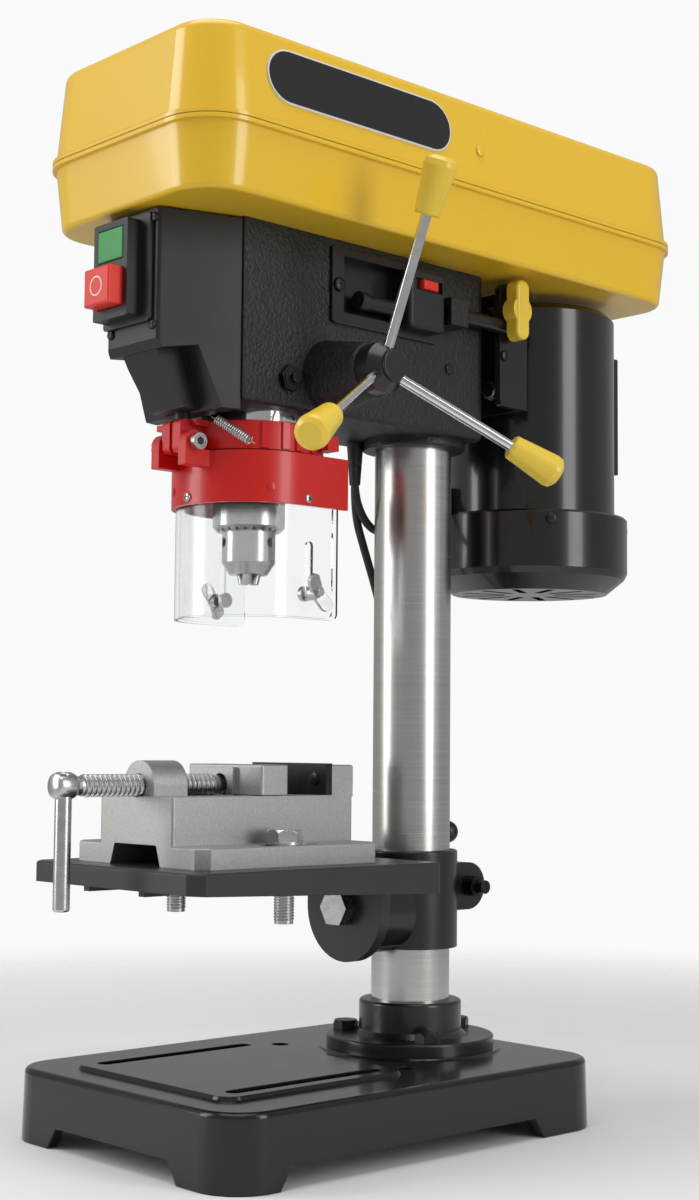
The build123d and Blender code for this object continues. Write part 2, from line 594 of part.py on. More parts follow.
def switch_bezel():
    x0 = BUTTON_X - BEZEL_WIDTH / 2 + 4
    x1 = x0 + BEZEL_WIDTH
    plate = block(x0 - 2.5, x1, -SWITCH_FRONT - 2.5, -SWITCH_FRONT, BEZEL_BOTTOM - 3, BEZEL_TOP + 3)
    plate = fillet(plate.edges().filter_by(Axis.Y), 2.0)
    frame = block(x0, x0 + BEZEL_WIDTH - 8, BEZEL_FRONT, -SWITCH_FRONT, BEZEL_BOTTOM, BEZEL_TOP)
    frame = fillet(frame.edges().filter_by(Axis.Y), 1.2)
    body = plate + frame
    half = BUTTON_WIDTH / 2 + BUTTON_GAP
    for low, high in (START_Z, STOP_Z):
        body -= block(BUTTON_X - half, BUTTON_X + half, BEZEL_FRONT - 1, -SWITCH_FRONT + 1, low - BUTTON_GAP,
                      high + BUTTON_GAP)
    inside = SWITCH_OPENING / 2 - SLIP
    back = block(-inside, inside, -SWITCH_FRONT - 0.01, -SWITCH_FRONT + 6, BEZEL_BOTTOM + 4 + SLIP,
                 BEZEL_TOP - 4 - SLIP)
    return body + back


def start_button():
    back = -SWITCH_FRONT - 0.5 - BUTTON_TRAVEL
    button = block(BUTTON_X - BUTTON_WIDTH / 2, BUTTON_X + BUTTON_WIDTH / 2, BEZEL_FRONT - 0.5, back, *START_Z)
    return fillet(button.edges().group_by(Axis.Y)[0], 0.8)


def stop_button():
    back = -SWITCH_FRONT - 0.5 - BUTTON_TRAVEL
    button = block(BUTTON_X - BUTTON_WIDTH / 2, BUTTON_X + BUTTON_WIDTH / 2, BEZEL_FRONT - 9.0, back, *STOP_Z)
    return fillet(button.edges().group_by(Axis.Y)[0], 1.2)


# ---------------------------------------------------------------- quill, spindle, chuck

QUILL_BUSH = 9.0
SPINDLE_TOP = HEAD_TOP + 48.0


def quill_sleeve():
    body = post(QUILL_R, QUILL_BOTTOM, QUILL_TOP, 0, SPINDLE_Y)
    body = chamfer(body.edges().group_by(Axis.Z)[0], 1.0)
    body -= post(SPINDLE_R + RUN, 0, THROUGH, 0, SPINDLE_Y)
    body -= post(SPINDLE_R + 2.5, QUILL_BOTTOM + QUILL_BUSH, QUILL_TOP - QUILL_BUSH, 0, SPINDLE_Y)
    rack_y = SPINDLE_Y + QUILL_R - RACK_DEPTH - 0.3
    body -= block(-12, 12, rack_y, rack_y + 10, FEED_Z - 16, QUILL_TOP + 1)
    return body


def spindle():
    shaft = post(SPINDLE_R, CHUCK_TOP - 16, SPINDLE_TOP, 0, SPINDLE_Y)
    return shaft + post(9.0, CHUCK_TOP + 1.0, QUILL_BOTTOM - 0.6, 0, SPINDLE_Y)


SLEEVE_TOP = 350.0
SLEEVE_LAND = 3.0
SLEEVE_CAVITY_R = 18.2
JAW_TIP_RADIUS = 3.2
JAW_LENGTH = 30.0
JAW_FLAT = 1.0
CHUCK_KEY_Z = 325.0


def jaw_axis(i):
    return Pos(0, SPINDLE_Y, JAW_TIP) * Rot(0, 0, 120 * i - 47) * Pos(JAW_TIP_RADIUS, 0, 0) * Rot(0, JAW_TILT, 0)


def chuck_body():
    profile = [(0, CHUCK_NOSE_BOTTOM), (CHUCK_NOSE_R, CHUCK_NOSE_BOTTOM), (CHUCK_BODY_R, CHUCK_BODY_BOTTOM),
               (CHUCK_BODY_R, CHUCK_TOP - 7), (17.0, CHUCK_TOP - 7), (17.0, CHUCK_TOP - 1), (16.0, CHUCK_TOP),
               (0, CHUCK_TOP)]
    body = turned(profile, 0, SPINDLE_Y)
    body -= post(SPINDLE_R + SLIP, CHUCK_TOP - 16.5, CHUCK_TOP + 1, 0, SPINDLE_Y)
    body -= post(6.7, 0, CHUCK_TOP - 24, 0, SPINDLE_Y)
    for i in range(3):
        body -= jaw_axis(i) * Pos(0, 0, 20) * Cylinder(JAW_R + RUN, 60)
        hole = Pos(0, SPINDLE_Y, CHUCK_KEY_Z) * Rot(0, 0, 120 * i - 107) * Pos(CHUCK_BODY_R, 0, 0)
        body -= hole * Rot(0, 90, 0) * Cylinder(2.6, 9)
    return body


def chuck_sleeve():
    profile = [(CHUCK_BODY_R + RUN, CHUCK_SLEEVE_BOTTOM), (CHUCK_SLEEVE_R - 2.5, CHUCK_SLEEVE_BOTTOM),
               (CHUCK_SLEEVE_R, CHUCK_SLEEVE_BOTTOM + 2.5), (CHUCK_SLEEVE_R, SLEEVE_TOP - 1.5),
               (CHUCK_SLEEVE_R - 1.5, SLEEVE_TOP), (CHUCK_BODY_R + RUN, SLEEVE_TOP),
               (CHUCK_BODY_R + RUN, SLEEVE_TOP - SLEEVE_LAND), (SLEEVE_CAVITY_R, SLEEVE_TOP - SLEEVE_LAND),
               (SLEEVE_CAVITY_R, CHUCK_SLEEVE_BOTTOM + 4), (CHUCK_BODY_R + RUN, CHUCK_SLEEVE_BOTTOM + 4)]
    body = turned(profile, 0, SPINDLE_Y)
    teeth = 24
    for i in range(teeth):
        place = Pos(0, SPINDLE_Y, CHUCK_SLEEVE_BOTTOM) * Rot(0, 0, 360 / teeth * i) * Pos(CHUCK_SLEEVE_R - 1.8, 0, 0)
        body -= place * Rot(0, -45, 0) * Box(2.2, 2.0, 9.0)
    return body


def chuck_jaw(i):
    shape = Pos(0, 0, JAW_LENGTH / 2) * Cylinder(JAW_R, JAW_LENGTH)
    jaw = jaw_axis(i) * shape
    turn = Pos(0, SPINDLE_Y, 0) * Rot(0, 0, 120 * i - 47)
    jaw &= turn * block(JAW_FLAT, 60, -20, 20, JAW_TIP + 0.2, 400)
    return jaw


# ---------------------------------------------------------------- feed handle

SPOKE_APEX_X = 79.0


def spoke_axis(i):
    return Pos(SPOKE_APEX_X, FEED_Y, FEED_Z) * Rot(120 * i, 0, 0) * Rot(0, SPOKE_LEAN, 0)


def feed_shaft():
    shaft = bar_x(FEED_SHAFT_R, CAP_X - 15, FEED_BOSS_X + 6, FEED_Y, FEED_Z)
    return shaft + bar_x(PINION_R, -12, 12, FEED_Y, FEED_Z)


def feed_hub():
    x0 = FEED_BOSS_X + AIR
    hub = bar_x(14.0, x0, x0 + 9.0, FEED_Y, FEED_Z)
    hub += Pos(x0 + 12.0, FEED_Y, FEED_Z) * Rot(0, 90, 0) * Cone(14.0, 9.0, 6.0)
    hub += fillet(bar_x(8.4, x0 + 14, FEED_HUB_X, FEED_Y, FEED_Z).edges().group_by(Axis.X)[-1], 0.8)
    hub -= bar_x(FEED_SHAFT_R + SLIP, 0, FEED_BOSS_X + 7, FEED_Y, FEED_Z)
    for i in range(3):
        hub -= spoke_axis(i) * Pos(0, 0, 20) * Cylinder(SPOKE_R + SLIP, 24)
    return hub


def feed_spokes():
    rods = [spoke_axis(i) * Pos(0, 0, (SPOKE_LENGTH + 9) / 2) * Cylinder(SPOKE_R, SPOKE_LENGTH - 9) for i in range(3)]
    return Compound(children=rods)


def feed_knobs():
    profile = [(SPOKE_R + SLIP, 0), (6.0, 0), (6.9, 0.8), (KNOB_R, KNOB_LENGTH - 5), (KNOB_R - 0.6, KNOB_LENGTH - 2),
               (KNOB_R - 3.0, KNOB_LENGTH), (0, KNOB_LENGTH), (0, KNOB_LENGTH - 6), (SPOKE_R + SLIP, KNOB_LENGTH - 6)]
    knob = turned(profile)
    return Compound(children=[spoke_axis(i) * Pos(0, 0, SPOKE_LENGTH + 6.5 - KNOB_LENGTH) * knob for i in range(3)])


# ---------------------------------------------------------------- guard

HINGE_Y = SPINDLE_Y - GUARD_HINGE_REACH
HINGE_Z = GUARD_HINGE_Z
HINGE_PIN_R = 2.5
EAR_INNER = 8.5
EAR_OUTER = 15.0
EAR_R = 6.5
WING_Y = -117.0
WING_Z = 296.0
SHIELD_TRAVEL = 26.0


def u_shape(radius, back_y, z0, z1):
    """A horseshoe plan: half round at the front, straight sides to the back."""
    width = 2 * radius
    body = post(radius, z0, z1, 0, SPINDLE_Y)
    return body + block(-width / 2, width / 2, SPINDLE_Y, back_y, z0, z1)


def horseshoe(radius, wall, back_y, z0, z1):
    return u_shape(radius, back_y, z0, z1) - u_shape(radius - wall, back_y + 50, z0 - 1, z1 + 1)


def guard_collar():
    body = post(GUARD_R - 1, NOSE_BOTTOM + 0.3, COLLAR_TOP, 0, SPINDLE_Y)
    body = fillet(body.edges().group_by(Axis.Z)[-1], 1.0)
    for angle in (-28, -12, 0, 16):
        rib = Rot(0, 0, angle) * block(GUARD_R - 3, GUARD_R + 0.4, -2.2, 2.2, NOSE_BOTTOM + 0.8, COLLAR_TOP - 0.8)
        body += Pos(0, SPINDLE_Y, 0) * rib
    lug = block(-EAR_INNER + AIR, EAR_INNER - AIR, HINGE_Y - 5, HINGE_Y + 7.5, HINGE_Z - 5, COLLAR_TOP)
    body += fillet(lug.edges().filter_by(Axis.X).group_by(Axis.Y)[0], 3.0)
    body += block(-EAR_INNER + AIR, EAR_INNER - AIR, HINGE_Y + 5, SPINDLE_Y - 30, NOSE_BOTTOM + 0.3, COLLAR_TOP)
    body += block(-22, 12, HINGE_Y + 2, SPINDLE_Y - 34, COLLAR_TOP - 3.2, COLLAR_TOP)
    body += block(35, 45, SPINDLE_Y + 18, SPINDLE_Y + 26, NOSE_BOTTOM + 3, COLLAR_TOP - 5)
    body -= post(NOSE_NECK_R + SLIP, 0, 500, 0, SPINDLE_Y)
    body -= block(-1.2, 1.2, HINGE_Y - 20, SPINDLE_Y, 0, 500)
    body -= bar_x(HINGE_PIN_R + RUN, -60, 20, HINGE_Y, HINGE_Z)
    return body - bar_x(2.0 + SLIP, -60, EAR_INNER + 1, HINGE_Y + 7, COLLAR_TOP - 6.2)


def guard_skirt():
    skirt = horseshoe(GUARD_R + 1, GUARD_WALL, GUARD_BACK_Y, GUARD_SKIRT_BOTTOM, GUARD_SKIRT_TOP)
    skirt += u_shape(GUARD_R, GUARD_BACK_Y, GUARD_SKIRT_TOP - 2, GUARD_SKIRT_TOP) \
        - post(NOSE_NECK_R + 4, 0, 500, 0, SPINDLE_Y) \
        - block(-NOSE_NECK_R - 4, NOSE_NECK_R + 4, SPINDLE_Y, 0, 0, 500)
    for side in (-1, 1):
        x0, x1 = sorted((side * EAR_INNER, side * EAR_OUTER))
        ear = bar_x(EAR_R, x0, x1, HINGE_Y, HINGE_Z)
        ear += block(x0, x1, HINGE_Y - EAR_R, HINGE_Y + EAR_R, GUARD_SKIRT_TOP - 9, HINGE_Z)
        ear += block(x0, x1, HINGE_Y - EAR_R, SPINDLE_Y - 38, GUARD_SKIRT_TOP - 9, GUARD_SKIRT_TOP)
        skirt += ear
    skirt -= u_shape(GUARD_R + 1 - GUARD_WALL, GUARD_BACK_Y + 50, 0, GUARD_SKIRT_TOP - 2)
    skirt -= post(GUARD_R - 1 + AIR, GUARD_SKIRT_TOP, 500, 0, SPINDLE_Y)
    skirt -= bar_x(HINGE_PIN_R + RUN, -60, 60, HINGE_Y, HINGE_Z)
    skirt -= block(-EAR_INNER, EAR_INNER, HINGE_Y - 20, SPINDLE_Y - GUARD_R + 3, HINGE_Z - 9, 500)
    return skirt - guard_screw_holes()


GUARD_SCREW_ANGLES = (-114.0, -24.0)


def guard_screw_axis(angle):
    turn = Pos(0, SPINDLE_Y, (GUARD_SKIRT_BOTTOM + GUARD_SKIRT_TOP) / 2 - 5.5) * Rot(0, 0, angle)
    return turn * Pos(GUARD_R, 0, 0) * Rot(0, 90, 0)


def guard_screw_holes():
    return Compound(children=[guard_screw_axis(a) * Cylinder(1.6 + SLIP, 12) for a in GUARD_SCREW_ANGLES])


def guard_pins():
    """The guard's hinge pin and the collar's clamp bolt."""
    y, z = HINGE_Y + 7, COLLAR_TOP - 6.2
    bolt = bar_x(2.0, -20, EAR_INNER - 2, y, z)
    bolt += Pos(-EAR_INNER + AIR, y, z) * Rot(0, -90, 0) * extrude(RegularPolygon(2.9, 6), 3.5)
    pin = bar_x(HINGE_PIN_R, -EAR_OUTER - 4, EAR_OUTER, HINGE_Y, HINGE_Z)
    head = bar_x(4.5, EAR_OUTER + 0.2, EAR_OUTER + 4.6, HINGE_Y, HINGE_Z) + bar_x(HINGE_PIN_R, 0, EAR_OUTER + 1, HINGE_Y, HINGE_Z)
    head = head - Pos(EAR_OUTER + 2.4, HINGE_Y, HINGE_Z) * Rot(0, 90, 0) * extrude(RegularPolygon(2.3, 6), 5)
    nut = Pos(-EAR_OUTER - 0.2, HINGE_Y, HINGE_Z) * Rot(0, -90, 0) * extrude(RegularPolygon(4.6, 6), 3.6)
    return Compound(children=[pin + head + nut, bolt])


def guard_shield():
    radius = GUARD_R + 1 - GUARD_WALL - SLIP
    sheet = horseshoe(radius, SHIELD_WALL, GUARD_BACK_Y - 5, SHIELD_BOTTOM, GUARD_SKIRT_TOP - 3)
    corners = sheet.edges().filter_by(Axis.X).group_by(Axis.Y)[-1]
    sheet = fillet([e for e in corners if e.center().Z < SHIELD_BOTTOM + 1], 4.0)
    sheet -= bar_x(2.0 + SLIP, -60, 60, WING_Y, WING_Z)
    return sheet - guard_screw_holes()


def guard_extension():
    radius = GUARD_R + 1 - GUARD_WALL - SHIELD_WALL - SLIP - 0.3
    top = GUARD_SKIRT_BOTTOM + 4
    sheet = horseshoe(radius, SHIELD_WALL, GUARD_BACK_Y - 7, SHIELD_BOTTOM + 1.0, top)
    corners = sheet.edges().filter_by(Axis.X).group_by(Axis.Y)[-1]
    sheet = fillet(corners, 4.0)
    low = WING_Z
    high = WING_Z + SHIELD_TRAVEL
    slot = block(-60, 60, WING_Y - 2.3, WING_Y + 2.3, low, high)
    slot += bar_x(2.3, -60, 60, WING_Y, low) + bar_x(2.3, -60, 60, WING_Y, high)
    return sheet - slot


def shield_bolts():
    outer = GUARD_R + 1 - GUARD_WALL
    inner = outer - 2 * SHIELD_WALL - 1.0
    items = []
    for side in (-1, 1):
        shank = bar_x(2.0, side * (inner - 1.5), side * (outer + 8), WING_Y, WING_Z)
        head = bar_x(4.2, side * (inner - 3.0), side * (inner - 0.3), WING_Y, WING_Z)
        items.append(shank + head)
    return Compound(children=items)


def wing_nut(side):
    outer = GUARD_R + 1 - GUARD_WALL
    x0 = side * (outer + 0.3)
    x1 = side * (outer + 6.0)
    nut = bar_x(4.0, x0, x1, WING_Y, WING_Z)
    for turn in (0, 180):
        wing = Pos(0, 0, 7.0) * Box(2.0, 8.0, 9.0)
        wing = fillet(wing.edges().filter_by(Axis.X).group_by(Axis.Z)[-1], 3.4)
        place = Pos(x0 + side * 4.2, WING_Y, WING_Z) * Rot(turn + 35, 0, 0) * Rot(0, side * 16, 0)
        nut += place * wing
    return nut - bar_x(2.0 + RUN, -80, 80, WING_Y, WING_Z)


SPRING_TOP = (16.5, -168.5, 390.0)
SPRING_LOW = (42.0, -159.5, 371.5)


def guard_spring():
    start = Vector(*SPRING_TOP)
    end = Vector(*SPRING_LOW)
    along = (end - start).normalized()
    coil = Plane(origin=start + along * 5, z_dir=along)
    return extrude(coil * Circle(2.6), (end - start).length - 10)


# ---------------------------------------------------------------- motor

BRACKET_Y = 47.0
BRACKET_THICK = 4.0
BRACKET_FRONT = 27.0
BRACKET_HALF = 46.0
BRACKET_Z = (417.0, 492.0)
PAD = (-30.0, 30.0, 420.0, 487.0)
KNOB_Y = 34.0
KNOB_Z = 474.3
ROTOR_R = 30.0
GLAND_X = -32.4
GLAND_Z = 368.4
CAP_BOX = (-20.0, 20.0, 393.0, 470.0)
MOTOR_BORE_R = 36.0


def motor_body():
    body = post(MOTOR_R, FAN_COVER_TOP, MOTOR_TOP, 0, MOTOR_Y)
    body = chamfer(body.edges().group_by(Axis.Z)[-1], 4.0)
    x0, x1, z0, z1 = PAD
    body += block(x0, x1, BRACKET_Y + BRACKET_THICK, MOTOR_Y - 42, z0, z1)
    x0, x1, z0, z1 = CAP_BOX
    box = block(x0, x1, MOTOR_Y + 40, MOTOR_Y + MOTOR_R + 13, z0, z1)
    body += fillet(box.edges().group_by(Axis.Y)[-1], 3.0)
    body += block(GLAND_X - 7, GLAND_X + 7, 44.0, 64.0, FAN_COVER_TOP + 1.5, GLAND_Z + 9)
    mouth = Plane.XZ.offset(-43.0) * Pos(GLAND_X, GLAND_Z) * Rot(0, 0, 90) * SlotOverall(10.4, 6.8)
    body -= extrude(mouth, -14.0)
    body -= post(MOTOR_BORE_R, FAN_COVER_TOP - 1, MOTOR_TOP - 12, 0, MOTOR_Y)
    body -= post(MOTOR_SHAFT_R + RUN, 0, MOTOR_TOP + 1, 0, MOTOR_Y)
    return body


def motor_fan_cover():
    profile = [(0, FAN_COVER_BOTTOM), (FAN_COVER_R - 13, FAN_COVER_BOTTOM), (FAN_COVER_R - 2, FAN_COVER_BOTTOM + 9),
               (FAN_COVER_R, FAN_COVER_BOTTOM + 13), (FAN_COVER_R, FAN_COVER_TOP - 1.5),
               (FAN_COVER_R - 1.5, FAN_COVER_TOP), (MOTOR_R - 6, FAN_COVER_TOP), (MOTOR_R - 6, FAN_COVER_TOP - 2),
               (FAN_COVER_R - 2.2, FAN_COVER_TOP - 2), (FAN_COVER_R - 2.2, FAN_COVER_BOTTOM + 13),
               (FAN_COVER_R - 14, FAN_COVER_BOTTOM + 2), (0, FAN_COVER_BOTTOM + 2)]
    body = turned(profile, 0, MOTOR_Y)
    for i in range(12):
        slot = Pos(30, 0) * SlotOverall(28, 5)
        body -= Pos(0, MOTOR_Y, FAN_COVER_BOTTOM - 1) * Rot(0, 0, 30 * i) * extrude(slot, 4)
    return body


def motor_bracket():
    z0, z1 = BRACKET_Z
    outline = [(-BRACKET_HALF, BRACKET_FRONT), (-BRACKET_HALF, BRACKET_Y + BRACKET_THICK),
               (BRACKET_HALF, BRACKET_Y + BRACKET_THICK), (BRACKET_HALF, BRACKET_FRONT),
               (BRACKET_HALF - 4.5, BRACKET_FRONT), (BRACKET_HALF - 4.5, BRACKET_Y), (-BRACKET_HALF + 4.5, BRACKET_Y),
               (-BRACKET_HALF + 4.5, BRACKET_FRONT)]
    body = extrude(Pos(0, 0, z0) * make_face(Polyline(*outline, close=True)), z1 - z0)
    body = fillet(body.edges().filter_by(Axis.X).group_by(Axis.Y)[0], 5.0)
    body -= bar_x(3.0 + RUN, 30, 60, KNOB_Y, KNOB_Z)
    for side in (-1, 1):
        body += bar_y(ROD_R, BOSS_Y[0] + 7, BRACKET_Y + BRACKET_THICK, side * ROD_X, ROD_Z)
    return body


def tension_knob():
    """The wing-shaped knob that locks the motor's slide for the belt tension."""
    x0 = ROD_X + ROD_R + AIR
    stem = bar_x(3.0, 39.5, x0 + 1, KNOB_Y, KNOB_Z)
    hub = bar_x(8.0, x0, x0 + 9.0, KNOB_Y, KNOB_Z)
    wing = Pos(x0 + 5.5, KNOB_Y, KNOB_Z) * Box(9.0, 11.0, 36.0)
    wing = fillet(wing.edges().filter_by(Axis.X), 5.0)
    wing = fillet(wing.edges().group_by(Axis.X)[-1], 2.0)
    return stem + hub + wing


def rotor():
    shaft = post(MOTOR_SHAFT_R, FAN_COVER_BOTTOM + 8, PULLEY_BOTTOM + PULLEY_HEIGHT - 2, 0, MOTOR_Y)
    core = post(ROTOR_R, FAN_COVER_TOP + 16, MOTOR_TOP - 22, 0, MOTOR_Y)
    fan = post(12.0, FAN_COVER_BOTTOM + 9, FAN_COVER_BOTTOM + 30, 0, MOTOR_Y)
    fan += post(44.0, FAN_COVER_BOTTOM + 27, FAN_COVER_BOTTOM + 30, 0, MOTOR_Y)
    for i in range(8):
        blade = block(10, 43, -0.8, 0.8, FAN_COVER_BOTTOM + 10, FAN_COVER_BOTTOM + 28)
        fan += Pos(0, MOTOR_Y, 0) * Rot(0, 0, 45 * i) * blade
    return shaft + core + fan


# ---------------------------------------------------------------- belt drive

PULLEY_HEIGHT = len(PULLEY_STEPS) * PULLEY_STEP_HEIGHT
GROOVE = 4.6
PULLEY_HUB_BOTTOM = HEAD_TOP - TOP_BUSH + 1.0
BELT_Z = PULLEY_BOTTOM + (BELT_STEP + 0.5) * PULLEY_STEP_HEIGHT


def stepped_pulley(steps, bore, y):
    """Five V grooves, the first at the bottom."""
    profile = [(bore, PULLEY_BOTTOM)]
    for i, r in enumerate(steps):
        z = PULLEY_BOTTOM + i * PULLEY_STEP_HEIGHT
        profile += [(r, z), (r, z + 0.8), (r - GROOVE, z + 2.4), (r - GROOVE, z + PULLEY_STEP_HEIGHT - 2.4),
                    (r, z + PULLEY_STEP_HEIGHT - 0.8), (r, z + PULLEY_STEP_HEIGHT)]
    profile.append((bore, PULLEY_BOTTOM + PULLEY_HEIGHT))
    return turned(profile, 0, y)


def spindle_pulley():
    hub = post(PULLEY_HUB_R, PULLEY_HUB_BOTTOM, PULLEY_BOTTOM + 1, 0, SPINDLE_Y)
    body = stepped_pulley(PULLEY_STEPS[::-1], SPINDLE_R + RUN, SPINDLE_Y) + hub
    return body - post(SPINDLE_R + RUN, 0, THROUGH, 0, SPINDLE_Y)


def motor_pulley():
    return stepped_pulley(PULLEY_STEPS, MOTOR_SHAFT_R + SLIP, MOTOR_Y)


def belt():
    r = PULLEY_STEPS[BELT_STEP]
    section = [(r - GROOVE + 0.5, BELT_Z - 0.9), (r + 0.6, BELT_Z - 2.2), (r + 0.6, BELT_Z + 2.2),
               (r - GROOVE + 0.5, BELT_Z + 0.9)]
    ends = turned(section, 0, SPINDLE_Y) - block(-99, 99, SPINDLE_Y, 999, 0, 999)
    ends += turned(section, 0, MOTOR_Y) - block(-99, 99, -999, MOTOR_Y, 0, 999)
    run = prism_y(section, SPINDLE_Y, MOTOR_Y)
    return ends + run + mirror(run, Plane.YZ)


# ---------------------------------------------------------------- belt cover

PAN_DRAFT = 6.5
LID_DRAFT = 5.3
LIP = 1.9
LIP_THICK = 2.4
LID_BOTTOM = RIM_Z + AIR
HINGE_AXIS_X = -COVER_HALF - LIP - 3.6
COVER_HINGE_Z = RIM_Z + AIR / 2
COVER_HINGES = (-150.0, 100.0)
KNUCKLE = 11.0


def pan_plan(z, inset=0.0):
    corner = COVER_CORNER - inset
    return plan(2 * (COVER_HALF - inset), -COVER_FRONT + inset, COVER_REAR - inset, corner, z)


def cover_pan():
    outer = extrude(pan_plan(RIM_Z), -(RIM_Z - HEAD_TOP), taper=PAN_DRAFT)
    outer = fillet(outer.edges().group_by(Axis.Z)[0], 3.0)
    inner = extrude(pan_plan(RIM_Z, COVER_WALL), -(RIM_Z - HEAD_TOP - COVER_WALL), taper=PAN_DRAFT)
    body = outer + extrude(pan_plan(RIM_Z - LIP_THICK, -LIP), LIP_THICK) - inner
    for y in COVER_HINGES:
        web = block(HINGE_AXIS_X, -COVER_HALF, y, y + KNUCKLE, RIM_Z - LIP_THICK, RIM_Z)
        body += web + bar_y(3.2, y, y + KNUCKLE, HINGE_AXIS_X, COVER_HINGE_Z)
        body -= block(HINGE_AXIS_X + 2.0, -COVER_HALF + 30, y - 1, y + KNUCKLE + 1, RIM_Z, RIM_Z + 10)
    body += Compound(children=[bar_y(1.6, y + 1, y + 2 * KNUCKLE + AIR, HINGE_AXIS_X, COVER_HINGE_Z)
                               for y in COVER_HINGES])
    body -= post(15.0, 0, THROUGH, 0, SPINDLE_Y)
    slot = Pos(0, MOTOR_Y - 3) * Rot(0, 0, 90) * SlotOverall(36, 22)
    body -= extrude(slot, THROUGH)
    return body


def cover_lid():
    height = LID_TOP - LID_BOTTOM
    outer = extrude(pan_plan(LID_BOTTOM), height, taper=LID_DRAFT)
    outer = fillet(outer.edges().group_by(Axis.Z)[-1], 5.0)
    inner = extrude(pan_plan(LID_BOTTOM, COVER_WALL), height - COVER_WALL, taper=LID_DRAFT)
    body = outer + extrude(pan_plan(LID_BOTTOM, -LIP), LIP_THICK) - inner
    for y in COVER_HINGES:
        y0, y1 = y + KNUCKLE + AIR, y + 2 * KNUCKLE + AIR
        web = block(HINGE_AXIS_X, -COVER_HALF, y0, y1, LID_BOTTOM, LID_BOTTOM + LIP_THICK)
        body += web + bar_y(3.2, y0, y1, HINGE_AXIS_X, COVER_HINGE_Z)
        body -= bar_y(1.6 + RUN, y0 - 1, y1 + 1, HINGE_AXIS_X, COVER_HINGE_Z)
        body -= block(HINGE_AXIS_X + 2.0, -COVER_HALF + 30, y0 - 1, y1 + 1, LID_BOTTOM - 10, LID_BOTTOM)
    return body


# ---------------------------------------------------------------- cords

CORD_R = 2.5
MAINS_EXIT = (-30.0, -20.0)
LEAD_EXIT = (-22.0, -28.0)
MAINS_MOUTH = HEAD_LOW - 24.0
LEAD_MOUTH = HEAD_LOW - 14.0
COIL_X = -27.0
COIL_Y = 115.0
COIL_TURNS_R = (23.0, 28.0, 33.0)
COIL_LAYERS = 3
COIL_OUTER = COIL_TURNS_R[-1] + CORD_R
COIL_INNER = COIL_TURNS_R[0] - CORD_R
COIL_HEIGHT = 2 * CORD_R * COIL_LAYERS
MAINS_ROUTE = [(-30, -20, 372), (-30, -20, 354), (-33, -9, 334), (-38, 7, 308), (-44, 25, 270), (-50, 40, 222),
               (-54, 51, 165), (-57, 60, 108), (-59.5, 69, 62), (-60.5, 79, 31), (-60.4, 95, 8.5), (-60, 116, 2.5)]
LEAD_ROUTE = [(-22, -28, 382), (-22, -28, 366), (-23, -20, 351), (-27.5, -5, 344), (-32, 11, 348), (-33, 27, 361),
              (-32, 46, 370)]
TAIL_ROUTE = [(-30, 81.5, 7.5), (-47, 80, 7.5), (-62, 82.5, 7.5), (-75, 91, 7.2), (-82, 104, 7), (-82, 119, 7)]
PLUG_Y = 119.0


def cord_path(route):
    """Straight runs joined by arcs as large as the runs allow."""
    points = [Vector(*p) for p in route]
    radii = []
    for before, here, after in zip(points, points[1:], points[2:]):
        turn = math.radians((here - before).get_angle(after - here))
        shorter = min((here - before).length, (after - here).length)
        radii.append(0.45 * shorter / math.tan(turn / 2))
    print("radii", [round(r, 1) for r in radii])
    return FilletPolyline(*points, radius=radii)


def cord_tube(route):
    path = cord_path(route)
    start = Plane(origin=path @ 0, z_dir=path % 0)
    tube = sweep(start * Circle(CORD_R), path=path)
    print("length", round(path.length, 1), "volume share", round(tube.volume / (path.length * math.pi * CORD_R ** 2), 4))
    return tube


def coil_ring():
    return post(COIL_OUTER, 0, COIL_HEIGHT, COIL_X, COIL_Y) - post(COIL_INNER, -1, 99, COIL_X, COIL_Y)


def mains_cord():
    return cord_tube(MAINS_ROUTE) - coil_ring()


def mains_tail():
    return cord_tube(TAIL_ROUTE) - coil_ring()


def motor_lead():
    return cord_tube(LEAD_ROUTE)


def cord_reliefs():
    mains = cone(CORD_R + 0.8, 5.0, MAINS_MOUTH, HEAD_LOW, *MAINS_EXIT)
    lead = cone(CORD_R + 0.7, 4.3, LEAD_MOUTH, HEAD_LOW, *LEAD_EXIT)
    return Compound(children=[mains, lead])


def mains_plug():
    x = TAIL_ROUTE[-1][0]
    body = block(x - 12, x + 12, PLUG_Y + 8, PLUG_Y + 38, 0.2, 13.8)
    body = fillet(body.edges().filter_by(Axis.Z), 7.0)
    body = fillet(body.edges().group_by(Axis.Z)[-1] + body.edges().group_by(Axis.Z)[0], 2.5)
    body += Pos(x, PLUG_Y + 5, 7.0) * Rot(-90, 0, 0) * Cone(CORD_R + 0.6, 6.0, 10)
    for side in (-1, 1):
        body += bar_y(2.0, PLUG_Y + 36, PLUG_Y + 57, x + side * 9.5 * 0.8, 7.0)
    return body


# ---------------------------------------------------------------- files

